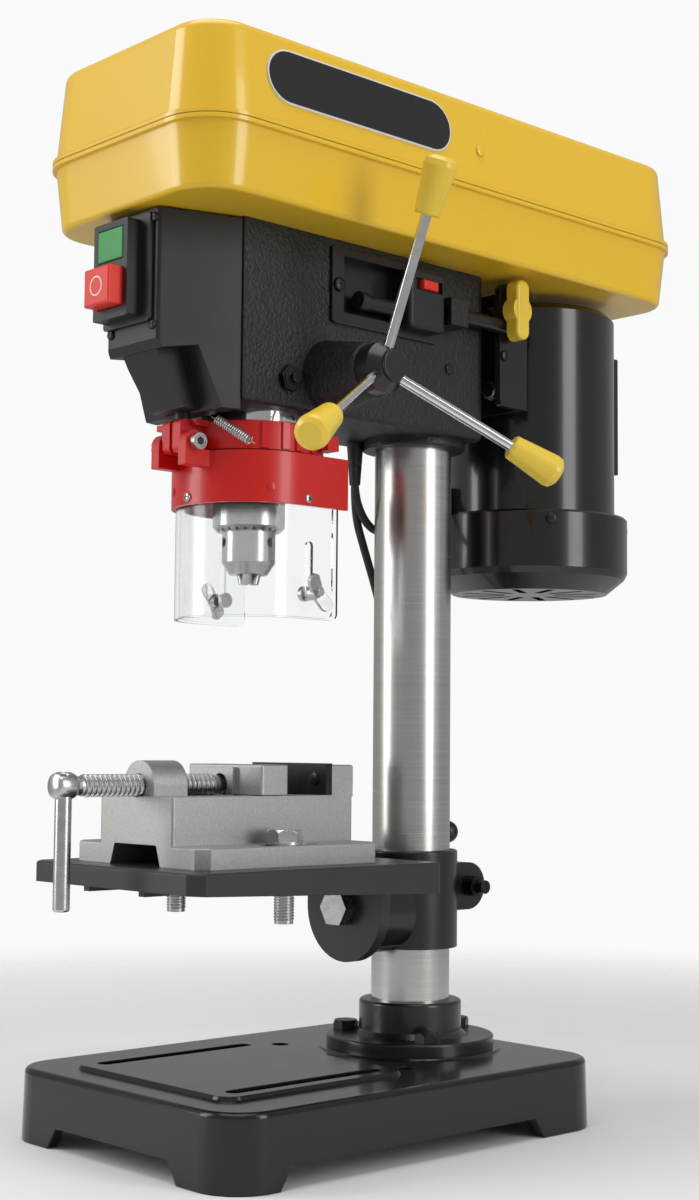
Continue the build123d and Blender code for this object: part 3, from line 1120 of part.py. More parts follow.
NODES = {
    "base_plate": base_plate,
    "column_flange": column_flange,
    "flange_bolts": flange_bolts,
    "column_tube": column_tube,
    "table_bracket": table_bracket,
    "table_plate": table_plate,
    "tilt_bolt": tilt_bolt,
    "table_clamp_lever": table_clamp_lever,
    "vise_body": vise_body,
    "vise_bolts": vise_bolts,
    "vise_jaw_plate": vise_jaw_plate,
    "vise_moving_jaw": vise_moving_jaw,
    "vise_screw": vise_screw,
    "vise_handle_bar": vise_handle_bar,
    "head_casting": head_casting,
    "nose_bush": nose_bush,
    "side_plate": side_plate,
    "depth_gauge": depth_gauge,
    "depth_pointer": depth_pointer,
    "return_spring_cap": return_spring_cap,
    "switch_housing": switch_housing,
    "switch_bezel": switch_bezel,
    "start_button": start_button,
    "stop_button": stop_button,
    "quill_sleeve": quill_sleeve,
    "spindle": spindle,
    "chuck_body": chuck_body,
    "chuck_sleeve": chuck_sleeve,
    "feed_shaft": feed_shaft,
    "feed_hub": feed_hub,
    "feed_spokes": feed_spokes,
    "feed_knobs": feed_knobs,
    "guard_collar": guard_collar,
    "guard_pins": guard_pins,
    "guard_skirt": guard_skirt,
    "guard_shield": guard_shield,
    "guard_extension": guard_extension,
    "shield_bolts": shield_bolts,
    "guard_spring": guard_spring,
    "motor_bracket": motor_bracket,
    "motor_body": motor_body,
    "motor_fan_cover": motor_fan_cover,
    "tension_knob": tension_knob,
    "rotor": rotor,
    "motor_pulley": motor_pulley,
    "spindle_pulley": spindle_pulley,
    "belt": belt,
    "cover_pan": cover_pan,
    "cover_lid": cover_lid,
    "cord_reliefs": cord_reliefs,
    "mains_cord": mains_cord,
    "mains_coil": coil_ring,
    "mains_tail": mains_tail,
    "mains_plug": mains_plug,
    "motor_lead": motor_lead,
}
EXTENT_LEFT = -BASE_WIDTH / 2
EXTENT_RIGHT = SPOKE_APEX_X + math.sin(math.radians(SPOKE_LEAN)) * (SPOKE_LENGTH + 6.5) \
    + math.cos(math.radians(SPOKE_LEAN)) * (KNOB_R - 3.0)
EXTENT_FRONT = VISE_HEAD_Y - VISE_HEAD_LENGTH / 2
EXTENT_REAR = MOTOR_Y + MOTOR_R + 13.0
ORIGIN = ((EXTENT_LEFT + EXTENT_RIGHT) / 2, (EXTENT_FRONT + EXTENT_REAR) / 2)


def write(name, shape):
    shape = Pos(-ORIGIN[0], -ORIGIN[1], 0) * shape
    if len(shape.solids()) > 1:
        shape = Compound(children=list(shape.solids()))
    else:
        shape = shape.solid()
    shape.label = name
    export_step(shape, "parts/" + name + ".step")
    size = shape.bounding_box()
    print(f"{name:20s} {shape.volume / 1000:9.2f} cm3  {size.min} {size.max}")


def main():
    os.makedirs("parts", exist_ok=True)
    for name, make in NODES.items():
        write(name, make())
    for i in range(3):
        write(f"chuck_jaw_{i + 1}", chuck_jaw(i))
    write("wing_nut_left", wing_nut(-1))
    write("wing_nut_right", wing_nut(1))
    print("origin in the drawing's frame", ORIGIN)


main()
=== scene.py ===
# %% [markdown]
# # Bench drill press: the looks
#
# The CAD model fixes every size. This script dresses it: it gives each CAD piece a procedural
# material, adds the small pieces that sit on it, such as screws, threads, the spring and the cords,
# and sets up a plain white studio. Everything is in metres, and places are given in millimetres about
# the column's axis, which the frame supplies.

# %% Load the frame
import bpy
import bmesh
import math
from mathutils import Matrix, Vector


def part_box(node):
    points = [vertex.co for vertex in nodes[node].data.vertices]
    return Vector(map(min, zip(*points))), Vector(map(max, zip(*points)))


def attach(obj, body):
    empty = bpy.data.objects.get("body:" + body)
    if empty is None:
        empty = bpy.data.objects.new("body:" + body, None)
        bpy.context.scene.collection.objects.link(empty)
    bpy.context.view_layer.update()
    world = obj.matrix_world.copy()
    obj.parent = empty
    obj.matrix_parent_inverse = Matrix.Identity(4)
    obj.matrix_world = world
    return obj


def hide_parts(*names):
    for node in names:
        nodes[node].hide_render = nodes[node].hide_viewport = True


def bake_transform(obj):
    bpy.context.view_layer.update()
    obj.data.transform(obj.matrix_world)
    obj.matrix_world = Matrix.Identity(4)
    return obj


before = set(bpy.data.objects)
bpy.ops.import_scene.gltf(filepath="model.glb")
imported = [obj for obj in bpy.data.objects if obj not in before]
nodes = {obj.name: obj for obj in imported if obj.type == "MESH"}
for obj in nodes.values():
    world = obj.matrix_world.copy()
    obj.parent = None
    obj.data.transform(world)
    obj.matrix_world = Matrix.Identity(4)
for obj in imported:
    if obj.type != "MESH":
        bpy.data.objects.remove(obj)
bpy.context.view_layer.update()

# %% [markdown]
# ## Places
#
# `spot(x, y, z)` turns millimetres about the column's axis into the frame's metres. The column tube's
# own box gives that axis. `span` is a CAD piece's box in the same millimetres, so that what sits on a
# piece takes its place from it.

# %% Places
MM = 0.001
low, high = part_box("column_tube")
AXIS = Vector(((low[0] + high[0]) / 2, (low[1] + high[1]) / 2, 0.0))


def spot(x, y, z):
    return AXIS + Vector((x, y, z)) * MM


def span(node):
    """The piece's lowest and highest corners, in millimetres about the column's axis."""
    a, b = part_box(node)
    return (Vector(a) - AXIS) / MM, (Vector(b) - AXIS) / MM


def middle(node):
    a, b = span(node)
    return (a + b) / 2


SPINDLE = middle("chuck_body")
MOTOR = middle("motor_pulley")
print("spindle", [round(v, 1) for v in SPINDLE], "motor", [round(v, 1) for v in MOTOR])

# %% [markdown]
# ## Material tools
#
# Each material is a short function that wires nodes. `Wires` keeps the wiring readable: it adds nodes,
# links sockets and gives back the socket to use next.

# %% Material tools


class Wires:
    def __init__(self, name):
        self.material = bpy.data.materials.new(name)
        self.material.use_nodes = True
        self.tree = self.material.node_tree
        self.shader = self.tree.nodes["Principled BSDF"]

    def add(self, kind, **values):
        node = self.tree.nodes.new(kind)
        for key, value in values.items():
            setattr(node, key, value)
        return node

    def link(self, source, target):
        self.tree.links.new(source, target)

    def place(self):
        """Object coordinates, which are the frame's own metres."""
        return self.add("ShaderNodeTexCoord").outputs["Object"]

    def stretched(self, scale):
        mapping = self.add("ShaderNodeMapping")
        mapping.inputs["Scale"].default_value = scale
        self.link(self.place(), mapping.inputs["Vector"])
        return mapping.outputs["Vector"]

    def noise(self, scale, detail=3.0, vector=None, roughness=0.5):
        node = self.add("ShaderNodeTexNoise")
        node.inputs["Scale"].default_value = scale
        node.inputs["Detail"].default_value = detail
        node.inputs["Roughness"].default_value = roughness
        self.link(vector or self.place(), node.inputs["Vector"])
        return node.outputs["Fac"]

    def ramp(self, value, stops):
        """Colours or greys along a value: stops is (position, colour) pairs."""
        node = self.add("ShaderNodeValToRGB")
        elements = node.color_ramp.elements
        while len(elements) < len(stops):
            elements.new(0.5)
        for element, (position, colour) in zip(elements, stops):
            element.position = position
            element.color = (*colour, 1.0) if len(colour) == 3 else colour
        self.link(value, node.inputs["Fac"])
        return node.outputs["Color"]

    def scaled(self, value, low, high, start=0.0, end=1.0):
        node = self.add("ShaderNodeMapRange")
        node.inputs["From Min"].default_value = start
        node.inputs["From Max"].default_value = end
        node.inputs["To Min"].default_value = low
        node.inputs["To Max"].default_value = high
        self.link(value, node.inputs["Value"])
        return node.outputs["Result"]

    def sums(self, operation, a, b):
        node = self.add("ShaderNodeMath", operation=operation)
        for socket, value in zip(node.inputs, (a, b)):
            if isinstance(value, (int, float)):
                socket.default_value = value
            else:
                self.link(value, socket)
        return node.outputs["Value"]

    def part(self, vector, axis):
        node = self.add("ShaderNodeSeparateXYZ")
        self.link(vector, node.inputs["Vector"])
        return node.outputs[axis]

    def rounded(self, radius):
        """Softens the look of sharp edges."""
        node = self.add("ShaderNodeBevel", samples=4)
        node.inputs["Radius"].default_value = radius
        return node.outputs["Normal"]

    def bump(self, height, strength, distance, normal=None):
        node = self.add("ShaderNodeBump")
        node.inputs["Strength"].default_value = strength
        node.inputs["Distance"].default_value = distance
        self.link(height, node.inputs["Height"])
        if normal is not None:
            self.link(normal, node.inputs["Normal"])
        self.link(node.outputs["Normal"], self.shader.inputs["Normal"])

    def set(self, **values):
        for key, value in values.items():
            socket = self.shader.inputs[key.replace("_", " ")]
            if hasattr(value, "is_linked") or hasattr(value, "links"):
                self.link(value, socket)
            elif isinstance(value, tuple):
                socket.default_value = (*value, 1.0)
            else:
                socket.default_value = value


def shades(colour, spread):
    """The same colour a little darker and a little lighter."""
    return tuple(c * (1 - spread) for c in colour), tuple(min(1.0, c * (1 + spread)) for c in colour)


def painted(name, colour, roughness, grain=900.0, depth=0.02, coat=0.0, edge=0.5):
    """Paint or plastic with a faint unevenness of colour and gloss, and a fine skin."""
    w = Wires(name)
    dark, light = shades(colour, 0.07)
    w.set(Base_Color=w.ramp(w.noise(9.0, 4.0), [(0.3, dark), (0.7, light)]))
    w.set(Roughness=w.scaled(w.noise(35.0, 4.0), roughness * 0.8, roughness * 1.25))
    w.set(Coat_Weight=coat, Coat_Roughness=0.06)
    w.bump(w.noise(grain, 2.0), 0.25, depth * MM, w.rounded(edge * MM))
    return w.material


def metal(name, colour, roughness, scale=(1.0, 1.0, 1.0), grain=150.0, depth=0.004, edge=0.4):
    """Bare metal: scale stretches its fine grain, as grinding or turning does."""
    w = Wires(name)
    dark, light = shades(colour, 0.08)
    lines = w.noise(grain, 3.0, w.stretched(scale))
    w.set(Base_Color=w.ramp(lines, [(0.25, dark), (0.75, light)]))
    w.set(Roughness=w.scaled(lines, roughness * 0.7, roughness * 1.3))
    w.set(Metallic=1.0)
    w.bump(lines, 0.08, depth * MM, w.rounded(edge * MM))
    return w.material


print("material tools ready")

# %% [markdown]
# ## Materials
#
# Black paint is smooth on most castings, but the middle of the head has a coarse wrinkle finish, which
# a mask along Y brings in. The column is a ground tube with fine lines round it.

# %% Paints and plastics


def head_paint():
    """Smooth black at the nose, wrinkled black behind it, on every side of the casting."""
    w = Wires("head_paint")
    along = w.part(w.place(), "Y")
    front = AXIS.y - 164.5 * MM
    back = AXIS.y - 30.0 * MM
    after = w.scaled(along, 0.0, 1.0, front, front + 0.6 * MM)
    before = w.scaled(along, 1.0, 0.55, back - 70 * MM, back)
    mask = w.sums("MULTIPLY", after, before)
    wrinkle = w.add("ShaderNodeTexVoronoi", feature="SMOOTH_F1")
    wrinkle.inputs["Scale"].default_value = 620.0
    w.link(w.place(), wrinkle.inputs["Vector"])
    cells = w.sums("ADD", wrinkle.outputs["Distance"], w.noise(380.0, 3.0))
    height = w.sums("MULTIPLY", cells, mask)
    w.set(Base_Color=w.ramp(w.noise(14.0, 4.0), [(0.3, (0.006, 0.006, 0.007)),
                                                 (0.7, (0.011, 0.011, 0.012))]))
    w.set(Roughness=w.scaled(height, 0.34, 0.55))
    w.bump(height, 0.75, 0.55 * MM, w.rounded(0.8 * MM))
    return w.material


def base_paint():
    w = Wires("base_paint")
    w.set(Base_Color=w.ramp(w.noise(11.0, 4.0), [(0.3, (0.005, 0.005, 0.006)), (0.7, (0.009, 0.009, 0.010))]))
    w.set(Roughness=w.scaled(w.noise(40.0, 4.0), 0.14, 0.22), Specular_IOR_Level=0.4)
    w.set(Coat_Weight=0.15, Coat_Roughness=0.05)
    w.bump(w.noise(60.0, 3.0), 0.08, 0.3 * MM, w.rounded(1.2 * MM))
    return w.material


def yellow_enamel():
    w = Wires("yellow_enamel")
    w.set(Base_Color=w.ramp(w.noise(5.0, 3.0), [(0.3, (0.86, 0.53, 0.018)), (0.7, (0.89, 0.56, 0.022))]))
    w.set(Roughness=w.scaled(w.noise(30.0, 3.0), 0.26, 0.31))
    w.set(Coat_Weight=0.5, Coat_Roughness=0.06)
    w.bump(w.noise(22.0, 2.0), 0.02, 0.15 * MM, w.rounded(1.0 * MM))
    return w.material


def clear_plastic():
    w = Wires("clear_plastic")
    w.set(Base_Color=(0.97, 0.98, 0.98), Transmission_Weight=1.0, IOR=1.25)
    w.set(Roughness=w.scaled(w.noise(20.0, 2.0), 0.02, 0.06))
    w.bump(w.noise(60.0, 2.0), 0.03, 0.1 * MM)
    return w.material


HEAD_PAINT = head_paint()
BASE_PAINT = base_paint()
YELLOW = yellow_enamel()
CLEAR = clear_plastic()
BLACK = painted("black_paint", (0.007, 0.007, 0.008), 0.30, depth=0.02, coat=0.2)
TABLE_BLACK = painted("table_paint", (0.024, 0.025, 0.027), 0.38, grain=500.0, depth=0.05)
MOTOR_BLACK = painted("motor_paint", (0.005, 0.005, 0.005), 0.22, depth=0.015, coat=0.35)
SWITCH_BLACK = painted("switch_plastic", (0.010, 0.010, 0.011), 0.42, grain=1400.0, depth=0.03)
RED = painted("red_plastic", (0.60, 0.006, 0.004), 0.30, depth=0.01, coat=0.15)
RED_BUTTON = painted("red_button_plastic", (0.78, 0.035, 0.020), 0.32, depth=0.01)
GREEN = painted("green_button_plastic", (0.025, 0.30, 0.055), 0.34, depth=0.01)
KNOB_YELLOW = painted("knob_plastic", (0.86, 0.60, 0.055), 0.30, depth=0.01, coat=0.2)
RUBBER = painted("rubber", (0.014, 0.014, 0.014), 0.55, grain=1600.0, depth=0.03)
BADGE = painted("badge_black", (0.004, 0.004, 0.004), 0.22, depth=0.005, coat=0.4)
MARK = painted("mark_white", (0.80, 0.78, 0.74), 0.45, depth=0.005)
print("paints ready")

# %% Metals


def column_steel():
    """Ground tube: fine lines round it and long soft streaks of shade along it."""
    w = Wires("column_steel")
    lines = w.noise(2.0, 2.0, w.stretched((3.0, 3.0, 900.0)))
    w.set(Base_Color=w.ramp(lines, [(0.3, (0.50, 0.485, 0.465)), (0.7, (0.60, 0.585, 0.56))]))
    w.set(Roughness=w.scaled(lines, 0.20, 0.30))
    w.set(Metallic=1.0, Anisotropic=0.5)
    w.bump(lines, 0.15, 0.02 * MM, w.rounded(0.5 * MM))
    return w.material


def cast_iron():
    """The vise: pale milled iron, speckled and a little rough."""
    w = Wires("cast_iron")
    speckle = w.noise(700.0, 4.0, roughness=0.6)
    w.set(Base_Color=w.ramp(speckle, [(0.3, (0.40, 0.395, 0.38)), (0.7, (0.50, 0.49, 0.475))]))
    w.set(Roughness=w.scaled(w.noise(90.0, 4.0), 0.36, 0.55))
    w.set(Metallic=0.9)
    w.bump(w.noise(700.0, 4.0), 0.25, 0.05 * MM, w.rounded(0.7 * MM))
    return w.material


COLUMN = column_steel()
IRON = cast_iron()
CHROME = metal("chrome", (0.72, 0.72, 0.72), 0.08, depth=0.001)
ZINC = metal("zinc", (0.56, 0.56, 0.55), 0.26)
TURNED = metal("turned_steel", (0.42, 0.41, 0.40), 0.24, scale=(1.0, 1.0, 40.0), grain=60.0)
DARK_STEEL = metal("dark_steel", (0.045, 0.045, 0.047), 0.35)
ALUMINIUM = metal("aluminium", (0.62, 0.62, 0.63), 0.3, scale=(1.0, 1.0, 30.0), grain=70.0)
# Near-black for screw recesses and sockets: painted shade standing in for the depth of holes that are not cut.
SOCKET_SHADE = painted("socket_shade", (0.008, 0.008, 0.009), 0.4)
print("metals ready")

# %% [markdown]
# ## Dressing the CAD pieces
#
# Each CAD piece is drawn as it comes, with its material. Edges that the CAD leaves sharp are softened in
# the materials, so no mesh changes.

# %% Dress the CAD pieces
DRESS = {
    "base_plate": BASE_PAINT, "column_flange": BLACK, "flange_bolts": DARK_STEEL, "column_tube": COLUMN,
    "table_bracket": BLACK, "table_plate": TABLE_BLACK, "tilt_bolt": ZINC, "table_clamp_lever": DARK_STEEL,
    "vise_body": IRON, "vise_bolts": ZINC, "vise_jaw_plate": DARK_STEEL, "vise_moving_jaw": IRON,
    "vise_screw": ZINC, "vise_handle_bar": ZINC,
    "head_casting": HEAD_PAINT, "nose_bush": CHROME, "side_plate": BLACK, "depth_gauge": SWITCH_BLACK,
    "depth_pointer": RED_BUTTON, "return_spring_cap": BLACK,
    "switch_housing": SWITCH_BLACK, "switch_bezel": SWITCH_BLACK,
    "start_button": GREEN, "stop_button": RED_BUTTON,
    "quill_sleeve": TURNED, "spindle": TURNED, "chuck_body": TURNED, "chuck_sleeve": TURNED,
    "chuck_jaw_1": TURNED, "chuck_jaw_2": TURNED, "chuck_jaw_3": TURNED,
    "feed_shaft": CHROME, "feed_hub": BLACK, "feed_spokes": CHROME, "feed_knobs": KNOB_YELLOW,
    "guard_collar": RED, "guard_pins": ZINC, "guard_skirt": RED, "guard_shield": CLEAR,
    "guard_extension": CLEAR, "shield_bolts": ZINC, "wing_nut_left": ZINC, "wing_nut_right": ZINC,
    "motor_bracket": BLACK, "motor_body": MOTOR_BLACK, "motor_fan_cover": MOTOR_BLACK,
    "tension_knob": KNOB_YELLOW, "rotor": TURNED, "motor_pulley": ALUMINIUM, "spindle_pulley": ALUMINIUM,
    "belt": RUBBER, "cover_pan": YELLOW, "cover_lid": YELLOW, "cord_reliefs": RUBBER, "mains_plug": RUBBER,
    "mains_cord": RUBBER, "mains_coil": RUBBER, "mains_tail": RUBBER, "motor_lead": RUBBER,
    "guard_spring": ZINC,
}


def smooth(obj, angle=35.0):
    obj.data.shade_smooth()
    obj.data.set_sharp_from_angle(angle=math.radians(angle))


for name, node in nodes.items():
    node.data.materials.clear()
    node.data.materials.append(DRESS[name])
print("dressed", len(DRESS), "pieces")

# %% [markdown]
# ## Shape tools
#
# The small pieces are turned profiles and bevelled prisms. A piece is drawn about its own axis, with
# Z pointing out of the surface it sits on, and `aim` then puts it there.

# %% Shape tools


def aim(x, y, z, out):
    """The place on the machine whose own Z points along `out`."""
    turn = Vector((0, 0, 1)).rotation_difference(Vector(out).normalized())
    return Matrix.Translation(spot(x, y, z)) @ turn.to_matrix().to_4x4() @ Matrix.Scale(MM, 4)


def piece(name, mesh, material, body):
    data = bpy.data.meshes.new(name)
    bmesh.ops.recalc_face_normals(mesh, faces=mesh.faces)
    mesh.to_mesh(data)
    mesh.free()
    obj = bpy.data.objects.new(name, data)
    bpy.context.scene.collection.objects.link(obj)
    data.materials.append(material)
    smooth(obj)
    if body:
        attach(obj, body)
    return obj


def lathe(mesh, profile, place, steps=32):
    """A profile of (radius, z) points turned about the place's own Z, closed at both ends."""
    rings = []
    for r, z in profile:
        ring = []
        for i in range(steps):
            a = 2 * math.pi * i / steps
            ring.append(mesh.verts.new(place @ Vector((r * math.cos(a), r * math.sin(a), z))))
        rings.append(ring)
    for one, two in zip(rings, rings[1:]):
        for i in range(steps):
            j = (i + 1) % steps
            mesh.faces.new((one[i], one[j], two[j], two[i]))
    mesh.faces.new(list(reversed(rings[0])))
    mesh.faces.new(rings[-1])


def prism(mesh, outline, z0, z1, place, bevel=0.0):
    """A closed outline of (x, y) points raised from z0 to z1."""
    low_ring = [mesh.verts.new(place @ Vector((x, y, z0))) for x, y in outline]
    high_ring = [mesh.verts.new(place @ Vector((x, y, z1))) for x, y in outline]
    count = len(outline)
    mesh.faces.new(list(reversed(low_ring)))
    top = mesh.faces.new(high_ring)
    for i in range(count):
        j = (i + 1) % count
        mesh.faces.new((low_ring[i], low_ring[j], high_ring[j], high_ring[i]))
    if bevel:
        bmesh.ops.bevel(mesh, geom=list(top.edges), offset=bevel * MM, segments=2, affect="EDGES")


def ngon(across, sides, turn=0.0):
    r = across / 2 / math.cos(math.pi / sides)
    return [(r * math.cos(2 * math.pi * i / sides + turn), r * math.sin(2 * math.pi * i / sides + turn))
            for i in range(sides)]


def pan_head(mesh, place, radius, height):
    """A low domed screw head."""
    profile = [(radius, 0.0), (radius, height * 0.35), (radius * 0.93, height * 0.68),
               (radius * 0.72, height * 0.92), (radius * 0.40, height)]
    lathe(mesh, profile, place, 28)


def cross_mark(mesh, place, radius, height):
    """Painted shade for a Phillips recess: a dark cross a hair proud of the head."""
    arm, half = radius * 0.62, radius * 0.13
    for a, b in ((arm, half), (half, arm)):
        prism(mesh, [(-a, -b), (a, -b), (a, b), (-a, b)], height - 0.25, height + 0.04, place)


def screws(name, places, radius, height, material, body):
    """Cross-head screws in one piece, and the painted shade of their recesses in another."""
    heads = bmesh.new()
    marks = bmesh.new()
    for place in places:
        pan_head(heads, place, radius, height)
        cross_mark(marks, place, radius, height)
    piece(name, heads, material, body)
    piece(name + "_recess", marks, SOCKET_SHADE, body)


def sweep(mesh, points, radius, sides=12):
    """A round tube along points, closed at both ends; points and radius in the frame's metres."""
    rings = []
    normal = None
    for i, point in enumerate(points):
        before = points[max(i - 1, 0)]
        after = points[min(i + 1, len(points) - 1)]
        along = (after - before).normalized()
        if normal is None:
            normal = along.orthogonal().normalized()
        normal = (normal - along * normal.dot(along)).normalized()
        side = along.cross(normal)
        ring = []
        for k in range(sides):
            a = 2 * math.pi * k / sides
            ring.append(mesh.verts.new(point + (normal * math.cos(a) + side * math.sin(a)) * radius))
        rings.append(ring)
    for one, two in zip(rings, rings[1:]):
        for k in range(sides):
            m = (k + 1) % sides
            mesh.faces.new((one[k], one[m], two[m], two[k]))
    mesh.faces.new(list(reversed(rings[0])))
    mesh.faces.new(rings[-1])


print("shape tools ready")

# %% [markdown]
# ## Belt cover: the blank badge and the rivet
#
# The lid's side leans in by its draft, so the badge and the rivet lean with it. The badge is a plain
# black pill with a thin pale rim and no lettering.

# %% Cover details
LID_DRAFT = math.radians(5.3)
LID_SIDE = 76.0
LID_FOOT = 532.1


def lid_side(y, z):
    x = LID_SIDE - (z - LID_FOOT) * math.tan(LID_DRAFT)
    return aim(x, y, z, (math.cos(LID_DRAFT), 0, math.sin(LID_DRAFT)))


def pill(length, height, steps=14):
    """A pill outline, long along the machine's Y."""
    half = (length - height) / 2
    r = height / 2
    outline = []
    for turn_by in (0.0, math.pi):
        for i in range(steps + 1):
            a = math.pi * i / steps + turn_by
            outline.append((r * math.cos(a), r * math.sin(a) + math.copysign(half, math.pi / 2 - turn_by)))
    return outline


def badge():
    place = lid_side(BADGE_Y, BADGE_Z)
    rim = bmesh.new()
    prism(rim, pill(BADGE_LENGTH, BADGE_HEIGHT), -0.3, 0.9, place, 0.25)
    piece("lid_badge_rim", rim, MARK, "lid")
    plate = bmesh.new()
    prism(plate, pill(BADGE_LENGTH - 2.2, BADGE_HEIGHT - 2.2), 0.2, 1.3, place, 0.25)
    piece("lid_badge", plate, BADGE, "lid")


BADGE_Y = -113.0
BADGE_Z = 560.5
BADGE_LENGTH = 136.0
BADGE_HEIGHT = 30.0
badge()
rivet = bmesh.new()
pan_head(rivet, lid_side(-21.0, 554.5), 3.4, 1.7)
piece("lid_rivet", rivet, YELLOW, "lid")
print("badge at", BADGE_Y, BADGE_Z)

# %% [markdown]
# ## Screws, nuts and bolts on the head and switch box

# %% Fasteners
HEAD_SIDE = 38.0
PLATE_SIDE = 40.5
FAN_COVER_R = 62.0
COLLAR_R = 31.0
SWITCH_FRONT = span("switch_housing")[0].y
JAW_FACE = span("vise_jaw_plate")[0].y


def on_round(centre_x, centre_y, radius, degrees, z):
    """A place on an upright round wall, facing straight out of it."""
    a = math.radians(degrees)
    out = (math.cos(a), math.sin(a), 0)
    return aim(centre_x + radius * out[0], centre_y + radius * out[1], z, out)


switch_places = [aim(x, SWITCH_FRONT, z, (0, -1, 0)) for x, z in ((-18.2, 432.0), (18.2, 432.0), (18.8, 489.0))]
screws("switch_screws", switch_places, 2.7, 1.6, DARK_STEEL, "base")
plate_place = aim(PLATE_SIDE, -99.0, 469.0, (1, 0, 0))
screws("side_plate_screw", [plate_place], 4.0, 2.2, DARK_STEEL, "base")
cover_places = [on_round(MOTOR.x, MOTOR.y, FAN_COVER_R, degrees, 353.0) for degrees in (-36, 54, 144, 234)]
screws("fan_cover_screws", cover_places, 3.4, 2.0, DARK_STEEL, "motor")
jaw_places = [aim(x, JAW_FACE, 196.0, (0, -1, 0)) for x in (-22.0, 22.0)]
screws("jaw_plate_screws", jaw_places, 3.6, 1.4, DARK_STEEL, "table")


def head_nut():
    """The locking nut of the quill on the head's right side: a hexagon with its stud."""
    nut = bmesh.new()
    place = aim(HEAD_SIDE, -132.7, 411.5, (1, 0, 0))
    prism(nut, ngon(13.0, 6, 0.3), 0.0, 4.2, place, 0.9)
    lathe(nut, [(3.0, 0.0), (3.0, 6.8), (2.4, 7.6)], place, 24)
    piece("head_nut", nut, DARK_STEEL, "base")


def set_screw(name, place, radius, body):
    """A socket set screw: a ring round a dark six-sided mark, painted shade standing in for the hole."""
    ring = bmesh.new()
    lathe(ring, [(radius, -0.4), (radius, 1.0), (radius * 0.86, 1.4)], place, 28)
    piece(name, ring, BLACK, body)
    hole = bmesh.new()
    prism(hole, ngon(radius, 6), 1.0, 1.46, place)
    piece(name + "_socket", hole, SOCKET_SHADE, body)


head_nut()
set_screw("side_set_screw", aim(HEAD_SIDE, -8.5, 435.0, (1, 0, 0)), 3.2, "base")
set_screw("collar_set_screw", on_round(0.0, 0.0, COLLAR_R, -40.0, 400.0), 4.6, "base")
print("fasteners placed")

# %% Guard screws and collar hardware
GUARD_R = 43.0


def on_skirt(degrees, z):
    return on_round(SPINDLE.x, SPINDLE.y, GUARD_R, degrees, z)


def skirt_plugs():
    """Red push-in plugs in the skirt's two spare holes."""
    plugs = bmesh.new()
    for degrees in (-114.0, -24.0):
        lathe(plugs, [(2.6, -0.3), (2.6, 0.35), (2.1, 0.6)], on_skirt(degrees, 351.5), 24)
    piece("skirt_plugs", plugs, RED, "guard")


screws("guard_screws", [on_skirt(degrees, 346.8) for degrees in (-90.0, 8.0, 188.0)], 2.6, 1.5, ZINC, "guard")
skirt_plugs()


def pin_socket():
    """Painted shade for the hexagon socket in the head of the hinge pin: a dark hexagon on its face."""
    hole = bmesh.new()
    reach = span("guard_pins")[1]
    place = aim(reach.x, -178.0, 374.5, (1, 0, 0))
    prism(hole, ngon(4.0, 6), -0.2, 0.05, place)
    piece("hinge_pin_socket", hole, SOCKET_SHADE, "base")


pin_socket()
print("guard hardware placed")

# %% [markdown]
# ## Motor details: pad bolts, a bracket bolt and capacitor screws

# %% Motor details


def pad_bolts():
    bolts = bmesh.new()
    for x in (-22.0, 22.0):
        for z in (432.0, 478.0):
            place = aim(x, 47.0, z, (0, -1, 0))
            lathe(bolts, [(6.0, 0.0), (6.0, 1.0)], place, 28)
            prism(bolts, ngon(10.0, 6), 1.0, 4.6, place, 0.6)
    piece("motor_pad_bolts", bolts, ZINC, "motor")


def bracket_bolt():
    head = bmesh.new()
    pan_head(head, aim(46.0, 30.5, 447.7, (1, 0, 0)), 3.3, 2.0)
    piece("bracket_bolt", head, DARK_STEEL, "motor")


def capacitor_screws():
    rear = span("motor_body")[1].y
    places = [aim(0.0, rear, z, (0, 1, 0)) for z in (402.0, 461.0)]
    screws("capacitor_screws", places, 3.0, 1.6, ZINC, "motor")


pad_bolts()
bracket_bolt()
capacitor_screws()
print("motor detailed")

# %% [markdown]
# ## Threads
#
# The vise screw and the ends of the vise bolts are helical ridges on their CAD shanks. A ridge is one
# strip that climbs round the axis, so its turns are worked out by a loop.

# %% Threads


def helix_ridge(mesh, place, radius, depth, pitch, length, steps=20):
    """A V-shaped ridge round the place's own Z, from z = 0 to length."""
    total = int(length / pitch * steps)
    strips = []
    for i in range(total + 1):
        a = 2 * math.pi * i / steps
        z = pitch * i / steps
        fade = min(1.0, i / steps, (total - i) / steps)
        outer = radius + depth * max(fade, 0.05)
        c, s = math.cos(a), math.sin(a)
        strips.append([mesh.verts.new(place @ Vector((r * c, r * s, z + dz)))
                       for r, dz in ((radius - 0.15, -pitch * 0.42), (outer, -pitch * 0.12),
                                     (outer, pitch * 0.12), (radius - 0.15, pitch * 0.42))])
    for one, two in zip(strips, strips[1:]):
        for k in range(4):
            m = (k + 1) % 4
            mesh.faces.new((one[k], two[k], two[m], one[m]))
    mesh.faces.new(strips[0])
    mesh.faces.new(list(reversed(strips[-1])))


